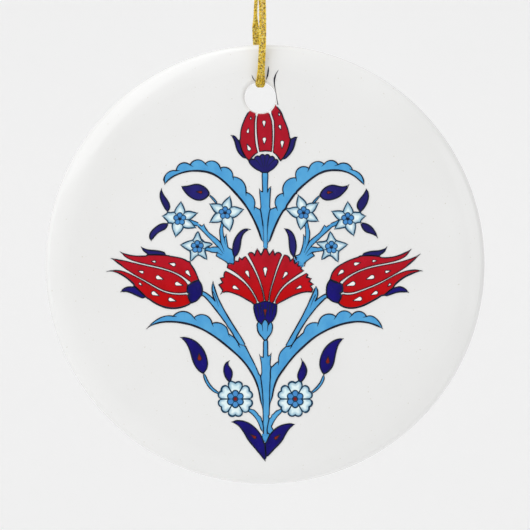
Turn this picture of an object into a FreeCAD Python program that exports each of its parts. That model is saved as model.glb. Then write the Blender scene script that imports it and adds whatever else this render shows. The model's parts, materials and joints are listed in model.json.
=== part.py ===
"""Hanging ceramic ornament: a glazed round disc, painted in raised enamels, on a gold cord.

Frame: millimetres, +Z up, the painted face towards -Y. The origin is the hang point, inside
the cord loop just under its knot. The enamel outlines are given about the disc's centre, as
(across, up), and every body on the disc is lowered by the same hang drop.
"""

import FreeCAD
import Part
import Sketcher
import math
import os

Vector = FreeCAD.Vector

SIZES = {
    # the ceramic disc
    "disc_diameter": 73.0,
    "disc_thickness": 4.0,
    "pillow_radius": 9.0,
    "rim_radius": 1.4,
    "hole_diameter": 5.24,
    "hole_left": 0.78,
    "hole_up": 27.73,
    "hole_rounding": 0.7,
    # the enamel on it
    "enamel_thickness": 0.08,
    "spot_thickness": 0.05,
    # the cord it hangs by
    "hang_drop": 48.0,
    "hook_wire": 0.9,
    "cord_width": 1.25,
    "edge_turn_radius": 1.6,
    "knot_width": 4.2,
    "knot_height": 3.6,
    "knot_rounding": 0.7,
    "tail_spacing": 1.7,
    "tail_length": 7.0,
}

# The cord's route about the disc's centre, as (across, depth, up): from the knot down the
# front, through the hole under its top edge, and up the back to the knot again.
CORD_ROUTE = [
    (-0.70, -0.75, 48.45),
    (-0.55, -1.45, 45.60),
    (-0.42, -2.10, 42.60),
    (-0.38, -2.62, 39.40),
    (-0.42, -2.88, 35.80),
    (-0.62, -2.90, 32.60),
    (-0.75, -2.90, 29.55),
    (-0.80, 2.90, 29.55),
    (-0.95, 2.90, 32.60),
    (-1.35, 2.88, 35.80),
    (-1.60, 2.62, 39.40),
    (-1.60, 2.10, 42.60),
    (-1.35, 1.45, 45.60),
    (-1.00, 0.75, 48.45),
]
EDGE_TURNS = (6, 7)  # the two route points where the cord bends round the hole's edges
TURN_SHARE = 0.45  # the part of its shorter run that a turn's arc takes up

# ---------------------------------------------------------------------------------------
# Outlines. An outline is a list of spans, and a span is a list of points. A span starts
# where the one before it ends, the first where the last one ends. One point makes a
# straight span, two an arc (through, to), and more a smooth curve. Spans meet at corners.
# ---------------------------------------------------------------------------------------


def polar(centre, radius, degrees):
    """A point at this distance and angle from a centre."""
    turn = math.radians(degrees)
    return (centre[0] + radius * math.cos(turn), centre[1] + radius * math.sin(turn))


def drop(across, up, length, width, degrees):
    """A teardrop with a round end and straight flanks to a point that lies at this angle."""
    turn = math.radians(degrees)

    def place(ahead, aside):
        return (
            across + ahead * math.cos(turn) - aside * math.sin(turn),
            up + ahead * math.sin(turn) + aside * math.cos(turn),
        )

    left = place(-0.12 * length, width / 2)
    right = place(-0.12 * length, -width / 2)
    blunt = place(-0.45 * length, 0)
    point = place(0.6 * length, 0)
    return [[left], [blunt, right], [point]]


def foil(centre, peak, notches, lobes, degrees):
    """A flower of equal lobes; the notches between them take turns at these radii."""
    spans = []
    step = 360.0 / lobes
    for i in range(lobes):
        angle = degrees + i * step
        notch = notches[i % len(notches)]
        spans.append([polar(centre, peak, angle), polar(centre, notch, angle + step / 2)])
    return spans


def star(centre, tips):
    """A five-petalled flower with these petal tips, in order round it."""
    waist = 0.55  # how far along a petal it is widest, as a share of its reach
    fullness = 0.40  # half a petal's width there, as a share of the turn to the next one
    neck = 0.80  # how far along it has drawn in towards its pointed tip
    slimness = 0.115  # half its width there
    valley = 1.4  # how far from the middle the petals part
    angles = [math.degrees(math.atan2(up - centre[1], x - centre[0])) for x, up in tips]
    spans = []
    for i, tip in enumerate(tips):
        reach = math.dist(centre, tip)
        before = short_turn(angles[i - 1], angles[i])
        after = short_turn(angles[i], angles[(i + 1) % len(tips)])
        arriving = polar(centre, reach * waist, angles[i] - fullness * before)
        spans.append([arriving, polar(centre, reach * neck, angles[i] - slimness * before), tip])
        leaving = polar(centre, reach * neck, angles[i] + slimness * after)
        shoulder = polar(centre, reach * waist, angles[i] + fullness * after)
        spans.append([leaving, shoulder, polar(centre, valley, angles[i] + after / 2)])
    return spans


def short_turn(angle, following):
    """The signed turn in degrees from one angle to the next, the short way round."""
    return (following - angle + 180) % 360 - 180


# The tulip at the top, cut off by the hole. Its petals end in a small arc round it.
TOP_TULIP_PETALS = [
    [
        [(-4.05, 20.6), (-4.0, 22.0), (-3.3, 24.15), (-2.95, 25.0)],
        [(-2.35, 24.65), (-1.75, 24.35)],
        [(-1.75, 22.8), (-1.65, 20.2), (-1.25, 18.5)],
        [(-1.95, 17.95), (-2.55, 17.2)],
    ],
    [
        [(-1.25, 21.5), (-1.3, 24.25)],
        [(-0.2, 24.15), (0.95, 24.5)],
        [(1.2, 21.8), (1.05, 18.65)],
        [(0.0, 18.75), (-0.85, 18.65)],
    ],
    [
        [(1.6, 21.8), (1.5, 24.75)],
        [(2.2, 25.6), (2.5, 26.85)],
        [(2.85, 24.7), (3.7, 22.6), (4.05, 20.8)],
        [(3.5, 18.8), (2.45, 17.2)],
        [(1.9, 18.1), (1.4, 18.5)],
    ],
]
TOP_TULIP_TIPS = [
    [[(-1.83, 31.0), (-2.1, 31.35)], [(-2.1, 31.0), (-1.95, 30.85)]],
    [[(0.6, 31.7), (0.62, 33.0)], [(0.3, 32.2), (0.25, 31.0)]],
    [[(1.52, 31.4), (2.2, 32.3)], [(1.2, 31.1), (1.3, 30.35)]],
]
TOP_TULIP_SEPALS = [
    [
        [(-4.9, 21.1), (-4.45, 20.4), (-4.2, 19.7)],
        [(-3.75, 18.4), (-2.8, 17.1)],
        [(-3.9, 17.95), (-4.65, 19.0), (-4.95, 20.2), (-5.65, 21.35)],
    ],
    [
        [(4.75, 20.95), (4.35, 20.55)],
        [(3.8, 18.6), (2.75, 17.05)],
        [(3.9, 18.0), (4.75, 19.3), (5.0, 20.3), (5.35, 21.05)],
    ],
]
TOP_CALYX = [
    [
        [(-2.45, 17.25), (-1.75, 17.35)],
        [(-1.5, 17.9), (-0.85, 17.8)],
        [(-0.45, 18.2), (0.0, 17.95)],
        [(0.45, 18.2), (0.8, 17.75)],
        [(1.3, 17.85), (1.6, 17.35)],
        [(2.1, 17.25), (2.1, 16.7)],
        [(1.4, 15.8), (-0.1, 15.25)],
        [(-1.4, 15.7), (-2.45, 16.6)],
    ],
]

# The tulips that lean out to the left and to the right.
LEFT_TULIP_PETALS = [
    [
        [(-22.4, 1.5), (-20.2, 1.35), (-17.7, 1.4), (-14.8, 1.2), (-13.0, 0.6), (-11.5, -1.3),
         (-11.0, -2.5)],
        [(-12.2, -3.0)],
        [(-14.8, -1.3), (-17.5, -0.4), (-20.2, 0.2), (-22.6, 1.0), (-24.0, 2.1)],
    ],
    [
        [(-23.2, 0.5), (-20.2, -0.2), (-17.5, -0.8), (-14.8, -1.7), (-12.95, -3.2)],
        [(-13.0, -4.6)],
        [(-14.5, -4.7), (-16.6, -4.3), (-19.3, -2.9), (-21.5, -1.7), (-23.6, -0.3),
         (-25.5, 1.0)],
    ],
    [
        [(-24.3, -1.05), (-22.0, -1.85), (-19.3, -3.3), (-16.6, -4.7), (-14.5, -5.1),
         (-13.0, -5.05)],
        [(-12.3, -6.5)],
        [(-13.7, -7.1), (-15.5, -7.3), (-17.7, -6.7), (-19.5, -5.5), (-21.1, -3.9),
         (-22.6, -2.5), (-24.2, -1.5), (-26.2, -1.2)],
    ],
]
LEFT_TULIP_SEPALS = [
    [[(-20.0, 2.15), (-19.3, 1.75)], [(-17.9, 1.72), (-16.1, 1.55)],
     [(-17.0, 2.05), (-18.0, 2.25), (-19.4, 2.4), (-20.5, 2.9)]],
    [[(-22.7, -3.75), (-21.4, -4.0)], [(-20.6, -4.7), (-19.6, -5.65)],
     [(-20.6, -5.45), (-22.0, -4.8), (-23.9, -4.6)]],
]
LEFT_TULIP_CALYX = [
    [
        [(-11.85, -3.05), (-12.65, -3.55)],
        [(-12.8, -4.3), (-12.5, -4.9)],
        [(-12.6, -5.6), (-12.0, -6.35)],
        [(-11.0, -5.75), (-10.5, -4.7)],
        [(-10.45, -3.6), (-10.95, -2.75)],
    ],
]
RIGHT_TULIP_PETALS = [
    [
        [(22.4, 1.55), (20.3, 1.1), (17.8, 1.25), (15.4, 1.15), (13.4, 0.4), (11.7, -0.7),
         (10.85, -2.4)],
        [(12.3, -2.95)],
        [(15.2, -1.1), (17.8, -0.2), (20.3, 0.3), (22.6, 1.0), (24.2, 2.5)],
    ],
    [
        [(23.2, 0.55), (20.3, -0.1), (17.8, -0.6), (15.2, -1.5), (12.95, -3.2)],
        [(13.0, -4.6)],
        [(14.1, -4.65), (16.1, -4.1), (18.6, -3.1), (20.9, -1.9), (23.0, -0.6), (25.7, 1.7)],
    ],
    [
        [(24.2, -1.0), (22.4, -1.5), (18.6, -3.5), (16.1, -4.5), (14.1, -5.1), (12.95, -5.0)],
        [(12.2, -6.5)],
        [(13.0, -7.05), (14.2, -7.28), (15.6, -7.08), (17.0, -6.5), (18.8, -5.5), (20.9, -3.95),
         (22.4, -2.6), (24.2, -1.6), (26.1, -1.1)],
    ],
]
RIGHT_TULIP_SEPALS = [
    [[(17.5, 1.58), (18.7, 1.52)], [(19.6, 1.95), (20.2, 2.9)],
     [(19.2, 2.3), (17.8, 2.15), (16.6, 1.9), (15.8, 1.5)]],
    [[(20.85, -4.4), (21.55, -3.98)], [(22.4, -3.72), (23.1, -4.0), (23.8, -4.7)],
     [(22.5, -4.55), (21.2, -4.85), (19.8, -5.35)]],
]
RIGHT_TULIP_CALYX = [
    [
        [(11.5, -3.1), (12.55, -3.3)],
        [(12.8, -4.1), (12.4, -4.8)],
        [(12.5, -5.6), (11.9, -6.35)],
        [(10.8, -5.9), (10.3, -5.0)],
        [(10.2, -3.8), (10.75, -2.65)],
    ],
]
TULIP_SPOTS = [
    drop(-2.8, 22.1, 0.85, 0.42, 80), drop(-2.7, 19.3, 1.15, 0.6, 115),
    drop(-2.35, 24.2, 0.5, 0.28, 85),
    drop(-0.15, 23.3, 1.1, 0.55, -88), drop(-0.1, 20.5, 1.1, 0.6, -92),
    drop(2.35, 24.85, 0.6, 0.3, 105), drop(2.5, 22.7, 0.85, 0.45, -75),
    drop(2.85, 19.9, 1.3, 0.55, -92),
    drop(-18.4, 0.45, 0.75, 0.38, 175), drop(-15.3, 0.0, 1.15, 0.6, 165),
    drop(-12.7, -1.5, 1.3, 0.6, -55),
    drop(-20.5, -1.25, 0.95, 0.46, 165), drop(-17.5, -2.25, 1.3, 0.66, -20),
    drop(-14.3, -3.3, 1.35, 0.62, -15),
    drop(-20.6, -3.3, 0.7, 0.36, -40), drop(-18.2, -4.9, 1.4, 0.66, -25),
    drop(-15.4, -5.9, 1.35, 0.62, -15),
    drop(18.1, 0.55, 0.75, 0.38, 5), drop(15.2, 0.1, 1.1, 0.56, 15),
    drop(12.55, -1.35, 1.3, 0.6, -140),
    drop(20.3, -1.2, 0.95, 0.46, 15), drop(17.5, -2.2, 1.4, 0.66, -160),
    drop(14.25, -3.3, 1.6, 0.7, -163),
    drop(20.6, -3.4, 0.7, 0.36, -140), drop(18.15, -4.8, 1.25, 0.6, -155),
    drop(15.4, -5.8, 1.5, 0.66, -165),
]

# The carnation in the middle: five toothed petals, from left to right.
CARNATION_PETALS = [
    [
        [(-6.98, -4.3)], [(-7.65, -3.4)], [(-6.98, -3.05)], [(-7.4, -2.3)], [(-6.75, -2.15)],
        [(-6.75, -1.5), (-6.5, -1.15)],
        [(-4.35, -2.4), (-2.8, -3.9), (-1.85, -5.4), (-1.4, -6.35)],
        [(-1.75, -6.5)],
        [(-3.56, -5.53), (-5.5, -4.7), (-6.7, -4.6), (-7.35, -4.97)],
    ],
    [
        [(-5.9, 0.0), (-5.2, 0.0)], [(-5.05, 0.6)], [(-4.4, 0.45)], [(-4.25, 1.15)],
        [(-3.75, 0.75)], [(-3.4, 1.2), (-3.2, 1.3)],
        [(-2.15, -0.4), (-1.3, -2.2), (-0.55, -4.4), (-0.25, -6.0)],
        [(-0.95, -6.3)],
        [(-1.4, -5.3), (-2.5, -3.6), (-4.05, -2.0), (-6.25, -0.6)],
    ],
    [
        [(-2.3, 1.95), (-1.75, 1.4)], [(-1.3, 2.6)], [(-0.65, 1.5)], [(-0.2, 2.35)],
        [(0.35, 2.35)], [(0.75, 1.5)], [(1.35, 2.45)], [(1.65, 1.45)],
        [(2.25, 1.95), (2.75, 1.55)],
        [(1.9, -0.6), (1.2, -2.8), (0.65, -4.8), (0.5, -6.0)],
        [(0.1, -6.0)],
        [(-0.2, -4.4), (-0.9, -2.2), (-1.8, -0.2), (-2.8, 1.7)],
    ],
    [
        [(3.7, 1.4), (4.15, 0.5)], [(4.65, 0.95)], [(4.95, 0.1)], [(5.5, 0.4)],
        [(5.45, -0.25)], [(6.05, -0.35)], [(5.95, -0.8)], [(6.45, -1.05)],
        [(4.55, -2.3), (2.65, -3.9), (1.6, -5.6), (1.3, -6.3)],
        [(0.85, -6.0)],
        [(1.0, -4.8), (1.55, -2.8), (2.25, -0.6), (3.2, 1.55)],
    ],
    [
        [(6.85, -2.15)], [(7.7, -2.35)], [(7.3, -2.85)], [(8.05, -3.3)], [(7.5, -3.6)],
        [(7.9, -4.1)], [(7.75, -4.6)],
        [(5.85, -4.75), (3.44, -5.8), (2.0, -6.55)],
        [(1.7, -6.45)],
        [(1.95, -5.9), (2.95, -4.25), (4.85, -2.65), (6.85, -1.5)],
        [(7.1, -1.75)],
    ],
]
CARNATION_CUP = [
    [
        [(-0.9, -6.5), (0.0, -6.25), (0.9, -6.45), (1.95, -6.7)],
        [(1.85, -8.2), (1.3, -9.35)],
        [(0.85, -9.65), (0.55, -9.95)],
        [(0.3, -9.2), (0.0, -8.95)],
        [(-0.3, -9.3), (-0.5, -9.9)],
        [(-0.9, -9.6), (-1.35, -9.2)],
        [(-1.75, -8.0), (-1.9, -6.75)],
    ],
]
CARNATION_CALYX = [
    [
        [(-0.85, -9.75), (-0.5, -10.15)],
        [(-0.3, -9.55), (0.0, -9.25)],
        [(0.3, -9.45), (0.55, -10.15)],
        [(0.8, -9.75), (1.15, -9.55)],
        [(1.25, -10.2), (1.05, -11.35), (0.4, -12.15), (0.0, -12.45)],
        [(-0.5, -12.05), (-1.05, -11.35), (-1.3, -10.3), (-1.25, -9.4)],
    ],
]
CARNATION_SPOTS = [
    drop(-4.85, -3.9, 1.2, 0.6, -25), drop(-2.85, -1.6, 1.35, 0.55, -65),
    drop(0.05, -1.2, 1.6, 0.6, -90), drop(3.3, -1.8, 1.4, 0.5, -125),
    drop(5.6, -3.85, 1.1, 0.45, -155),
]
CARNATION_SLIT = [drop(0.03, -8.0, 1.35, 0.42, -90)]

# The four scalloped plumes.
UPPER_LEFT_PLUME = [
    [
        [(-15.8, 14.1), (-14.1, 15.0), (-12.4, 15.4), (-10.6, 15.4), (-9.1, 15.1),
         (-7.6, 14.3), (-6.1, 13.0), (-4.6, 11.4), (-3.1, 9.5), (-2.0, 7.6), (-1.1, 5.6),
         (-0.4, 2.85)],
        [(-0.35, 5.8), (-0.7, 8.3)],
        [(-1.1, 9.15), (-1.75, 9.5)],
        [(-2.15, 11.35), (-3.15, 11.9)],
        [(-3.85, 13.9), (-5.3, 14.5)],
        [(-6.3, 16.0), (-7.4, 15.95)],
        [(-8.6, 17.1), (-9.9, 16.65)],
        [(-11.1, 17.3), (-12.4, 16.45)],
        [(-13.5, 16.8), (-14.7, 15.5)],
        [(-15.9, 15.3), (-16.75, 14.0)],
        [(-16.6, 13.2)],
    ],
]
UPPER_RIGHT_PLUME = [
    [
        [(15.3, 14.2), (14.1, 15.0), (12.7, 15.45), (11.3, 15.55), (9.9, 15.35), (8.5, 14.7),
         (6.9, 13.5), (5.2, 11.9), (3.9, 10.1), (2.6, 8.1), (1.6, 6.0), (0.9, 4.1),
         (0.55, 2.75)],
        [(0.5, 5.6), (0.75, 8.3)],
        [(1.25, 9.2), (1.9, 9.4)],
        [(2.2, 11.4), (3.05, 11.75)],
        [(3.8, 14.0), (5.15, 14.3)],
        [(6.15, 16.15), (7.3, 15.85)],
        [(8.5, 17.0), (9.8, 16.6)],
        [(10.9, 17.2), (12.1, 16.5)],
        [(13.2, 16.75), (14.5, 15.6)],
        [(15.7, 15.0), (16.4, 13.15)],
    ],
]
LOWER_LEFT_PLUME = [
    [
        [(-18.1, -9.3), (-16.6, -8.6), (-15.2, -8.6)],
        [(-13.5, -7.8), (-11.75, -8.85)],
        [(-10.1, -8.35), (-8.75, -9.8)],
        [(-7.15, -9.85), (-6.05, -11.45)],
        [(-5.3, -12.05), (-4.4, -13.35)],
        [(-3.2, -13.65)],
        [(-2.4, -15.2), (-1.2, -17.7), (-0.72, -19.4), (-0.48, -21.2), (-0.4, -25.8)],
        [(-0.65, -23.6), (-1.1, -20.7), (-2.4, -17.7), (-4.0, -15.65), (-5.8, -14.0),
         (-8.5, -11.9), (-10.9, -10.55), (-13.0, -9.85), (-15.2, -9.55), (-17.3, -9.65),
         (-19.6, -10.7)],
    ],
]
LOWER_RIGHT_PLUME = [
    [
        [(18.8, -9.4), (17.8, -8.6), (16.8, -8.65)],
        [(15.55, -7.8), (14.4, -8.4)],
        [(13.1, -7.7), (11.75, -8.65)],
        [(10.3, -8.25), (8.85, -9.75)],
        [(7.6, -9.75), (6.4, -11.3)],
        [(5.45, -12.2), (4.45, -13.55)],
        [(3.3, -13.8)],
        [(2.55, -14.6), (2.25, -16.1)],
        [(1.35, -16.85), (1.05, -18.6)],
        [(0.9, -20.2), (0.85, -21.8), (0.85, -24.8)],
        [(1.15, -22.5), (2.05, -19.0), (3.1, -17.4), (4.7, -15.35), (6.4, -13.65),
         (8.1, -12.2), (10.2, -10.95), (12.4, -10.05), (14.1, -9.65), (16.1, -9.55),
         (18.1, -10.0), (19.5, -10.7)],
    ],
]

# Stems.
TOP_STEM = [
    [
        [(-0.38, 12.0)],
        [(-0.65, 12.1), (-0.95, 12.6)],
        [(-0.8, 11.0), (-0.65, 9.3), (-0.5, 8.1), (-0.2, 5.8), (-0.22, 2.75)],
        [(0.35, 2.75)],
        [(0.34, 5.8), (0.55, 8.1), (0.75, 9.3), (0.85, 11.2), (1.0, 12.9)],
        [(0.58, 12.4), (0.42, 11.9)],
        [(0.5, 15.05)],
        [(0.0, 15.1), (-0.5, 15.05)],
    ],
]
CENTRE_STEM = [
    [
        [(-0.28, -15.4)],
        [(-0.65, -15.3), (-0.95, -14.9)],
        [(-0.6, -16.5), (-0.5, -19.4), (-0.3, -21.6), (-0.2, -25.5), (0.0, -29.2)],
        [(0.4, -26.5), (0.66, -23.5), (0.7, -20.5), (0.8, -17.5), (1.05, -14.6)],
        [(0.75, -15.1), (0.48, -15.2)],
        [(0.45, -12.6)],
        [(0.1, -12.75), (-0.25, -12.6)],
    ],
]
LEFT_TULIP_STEM = [
    [
        [(-10.3, -5.1)],
        [(-9.4, -6.0), (-8.1, -7.6), (-6.9, -9.2), (-5.3, -11.55), (-4.2, -13.15)],
        [(-3.2, -13.5)],
        [(-4.2, -11.7), (-5.3, -10.0), (-6.4, -8.2), (-7.6, -5.9), (-8.6, -2.8)],
        [(-8.75, -4.4), (-8.25, -6.1)],
        [(-9.3, -5.05), (-10.3, -4.45)],
    ],
]
RIGHT_TULIP_STEM = [
    [
        [(10.15, -5.5)],
        [(9.1, -6.5), (7.6, -8.3), (6.4, -10.0), (5.35, -11.75), (4.35, -13.4)],
        [(3.4, -13.55)],
        [(4.5, -11.6), (5.8, -9.3), (7.0, -6.9), (7.9, -4.9), (8.45, -3.65)],
        [(8.75, -4.9), (8.3, -6.1)],
        [(9.1, -5.45), (10.1, -4.9)],
    ],
]
LEFT_SPRAY_STEMS = [
    [
        [(-5.75, 1.6), (-6.2, 3.2), (-6.4, 5.0)],
        [(-6.75, 4.3)],
        [(-6.92, 5.3), (-6.95, 6.18)],
        [(-7.4, 6.25)],
        [(-7.5, 5.2), (-7.38, 4.2), (-7.3, 3.5)],
        [(-8.65, 4.75), (-9.6, 5.6), (-9.95, 6.2)],
        [(-10.1, 6.65)],
        [(-10.45, 6.3)],
        [(-11.45, 7.1)],
        [(-11.3, 6.45)],
        [(-10.2, 5.35), (-8.9, 4.0), (-7.75, 2.85)],
        [(-8.4, 2.87), (-9.05, 2.75)],
        [(-9.2, 2.1)],
        [(-8.6, 1.95), (-7.9, 1.95)],
        [(-8.1, 1.4)],
        [(-7.2, 0.85), (-6.2, 0.25)],
        [(-5.4, 0.85)],
    ],
    [[(-8.8, 11.2), (-8.35, 10.65)], [(-8.55, 10.5)], [(-8.9, 11.0), (-9.2, 11.3)]],
]
RIGHT_SPRAY_STEMS = [
    [
        [(6.05, 2.4), (6.35, 3.8), (6.35, 4.95)],
        [(6.68, 4.45)],
        [(6.74, 5.3), (6.64, 6.08)],
        [(7.3, 6.0)],
        [(7.42, 5.0), (7.3, 4.0), (7.1, 3.3)],
        [(8.3, 4.6), (9.2, 5.4), (9.5, 5.9)],
        [(9.85, 6.5)],
        [(10.15, 6.15)],
        [(11.3, 7.0)],
        [(11.2, 6.25)],
        [(10.1, 5.25), (8.85, 4.1), (7.6, 2.9)],
        [(8.1, 2.85), (8.75, 2.75)],
        [(8.85, 2.1)],
        [(8.3, 2.05), (7.75, 1.95)],
        [(8.2, 1.4)],
        [(7.2, 0.75), (6.3, -0.05)],
        [(5.25, 0.75)],
    ],
    [[(8.7, 11.1), (8.2, 10.55)], [(8.4, 10.4)], [(8.8, 10.9), (9.0, 11.2)]],
]
ROSETTE_STEMS = [
    [[(-0.55, -26.2), (-1.1, -24.9), (-2.1, -23.95)], [(-2.75, -24.4)],
     [(-1.6, -25.4), (-0.95, -26.6), (-0.45, -28.0)], [(-0.32, -27.2)]],
    [[(0.65, -26.3), (1.25, -25.0), (2.2, -24.05)], [(2.8, -24.5)],
     [(1.75, -25.6), (1.1, -26.8), (0.6, -28.1)], [(0.42, -27.3)]],
    [[(-9.78, -19.6), (-8.92, -20.75), (-7.85, -21.5)], [(-7.65, -21.15)],
     [(-8.62, -20.42), (-9.4, -19.4), (-9.8, -18.3)], [(-10.2, -18.35)]],
    [[(9.52, -19.7), (8.85, -20.6), (7.98, -21.3)], [(7.78, -20.98)],
     [(8.55, -20.3), (9.2, -19.4), (9.55, -18.4)], [(9.92, -18.45)]],
]

# Leaves.
UPPER_LEFT_LEAVES = [
    [[(-12.4, 13.05), (-11.3, 13.25), (-10.1, 12.85), (-9.25, 11.75)],
     [(-9.9, 10.9), (-11.0, 10.6), (-12.7, 11.4), (-13.8, 12.9)]],
    [[(-17.35, 11.4), (-17.0, 10.1), (-16.2, 8.78)],
     [(-15.75, 9.5), (-16.1, 10.5), (-16.85, 11.6), (-17.1, 12.55)]],
    [[(-17.1, 6.7), (-18.3, 5.95), (-19.05, 4.9), (-18.85, 3.9)],
     [(-18.25, 4.7), (-17.5, 5.35), (-16.7, 5.75), (-16.1, 6.65)]],
    [[(-3.5, 5.75), (-4.6, 4.8), (-5.25, 3.3), (-5.3, 1.9), (-5.05, 1.15)],
     [(-4.3, 2.2), (-4.0, 3.8), (-3.65, 4.95), (-3.1, 5.5), (-2.35, 5.75)]],
]
UPPER_RIGHT_LEAVES = [
    [[(9.9, 12.6), (11.0, 13.1), (12.3, 12.9), (13.9, 13.2)],
     [(12.6, 11.45), (10.8, 10.65), (9.7, 10.8), (9.1, 11.5)]],
    [[(17.15, 11.2), (16.7, 9.8), (15.9, 8.8)],
     [(15.3, 9.5), (15.5, 10.5), (16.4, 11.65), (16.75, 12.5)]],
    [[(16.6, 6.75), (17.8, 5.95), (18.65, 4.35)],
     [(17.8, 5.0), (16.7, 5.4), (16.1, 6.1), (15.9, 6.8)]],
    [[(4.3, 5.45), (5.05, 4.05), (5.1, 2.3), (4.8, 1.2)],
     [(4.1, 2.5), (3.95, 4.2), (3.65, 5.3), (3.2, 5.9)]],
]
LOWER_LEFT_LEAVES = [
    [[(-12.6, -12.25), (-11.1, -13.1), (-9.7, -15.3), (-9.6, -17.1), (-10.25, -18.05)],
     [(-11.7, -16.5), (-12.5, -14.1), (-14.0, -12.1)]],
    [[(-6.35, -16.25), (-6.8, -17.3), (-6.55, -18.6), (-6.0, -19.35)],
     [(-5.45, -18.5), (-5.6, -17.4), (-6.1, -16.6), (-5.85, -15.95)]],
]
LOWER_RIGHT_LEAVES = [
    [[(10.6, -13.2), (9.2, -15.5), (9.2, -17.3), (9.75, -18.15)],
     [(11.2, -16.8), (11.8, -14.3), (13.0, -12.3)]],
    [[(6.5, -16.4), (6.9, -17.6), (6.65, -18.6), (6.0, -19.4)],
     [(5.4, -18.5), (5.75, -17.4), (6.1, -16.5), (5.94, -15.55)]],
]
BOTTOM_LEAVES = [
    [[(-4.0, -25.9), (-2.2, -26.6), (-0.9, -27.95), (-0.2, -29.5)], [(0.05, -32.6)],
     [(-1.5, -30.6), (-3.0, -28.7), (-4.0, -27.1), (-5.5, -26.1)]],
    [[(3.5, -26.45), (1.8, -27.2), (0.8, -28.3), (0.2, -29.7)], [(0.35, -31.9)],
     [(1.3, -30.8), (2.8, -29.2), (3.8, -27.5), (4.9, -26.5)]],
]
LEAF_SPOTS = [
    drop(-10.8, 11.95, 1.0, 0.45, 175), drop(10.7, 11.9, 1.0, 0.45, 5),
    drop(-10.85, -15.4, 1.25, 0.7, 95), drop(10.4, -15.9, 1.25, 0.65, 85),
    drop(-1.9, -28.5, 1.2, 0.48, 145), drop(2.0, -28.6, 1.2, 0.48, 40),
]

# Star flowers: the middle of each and its five petal tips.
LEFT_STARS = {
    (-14.1, 7.5): [(-13.9, 10.4), (-11.1, 8.5), (-11.4, 6.0), (-14.8, 4.5), (-17.0, 8.0)],
    (-6.6, 8.5): [(-5.8, 11.3), (-3.5, 9.1), (-5.8, 5.4), (-9.2, 6.9), (-9.2, 10.0)],
    (-11.2, 2.9): [(-11.1, 5.4), (-8.75, 3.35), (-9.6, 0.8), (-12.3, 0.5), (-14.0, 3.2)],
}
RIGHT_STARS = {
    (13.7, 7.5): [(13.7, 10.4), (16.7, 8.0), (14.7, 4.7), (11.5, 5.8), (11.0, 8.8)],
    (6.4, 8.5): [(5.5, 11.5), (8.9, 10.2), (8.9, 7.1), (5.9, 5.7), (3.5, 9.1)],
    (11.0, 2.8): [(10.8, 5.4), (13.7, 3.3), (12.1, 0.4), (9.4, 0.8), (8.5, 3.6)],
}
ROSETTES = [(-4.9, -22.3), (5.0, -22.3)]

STAR_EYE_RADIUS, STAR_EYE_NOTCH = 1.05, 0.72
STAR_HEART_RADIUS = 0.26
ROSETTE_RADIUS, ROSETTE_NOTCHES = 2.9, (2.62, 2.15)
ROSETTE_EYE_RADIUS, ROSETTE_EYE_NOTCH = 1.42, 0.98
BEAD_RADIUS, BEAD_LOBES = 0.36, 3

FACE, OVER_FACE, OVER_EYE = 0, 1, 2  # how many coats lie under an enamel

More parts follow.
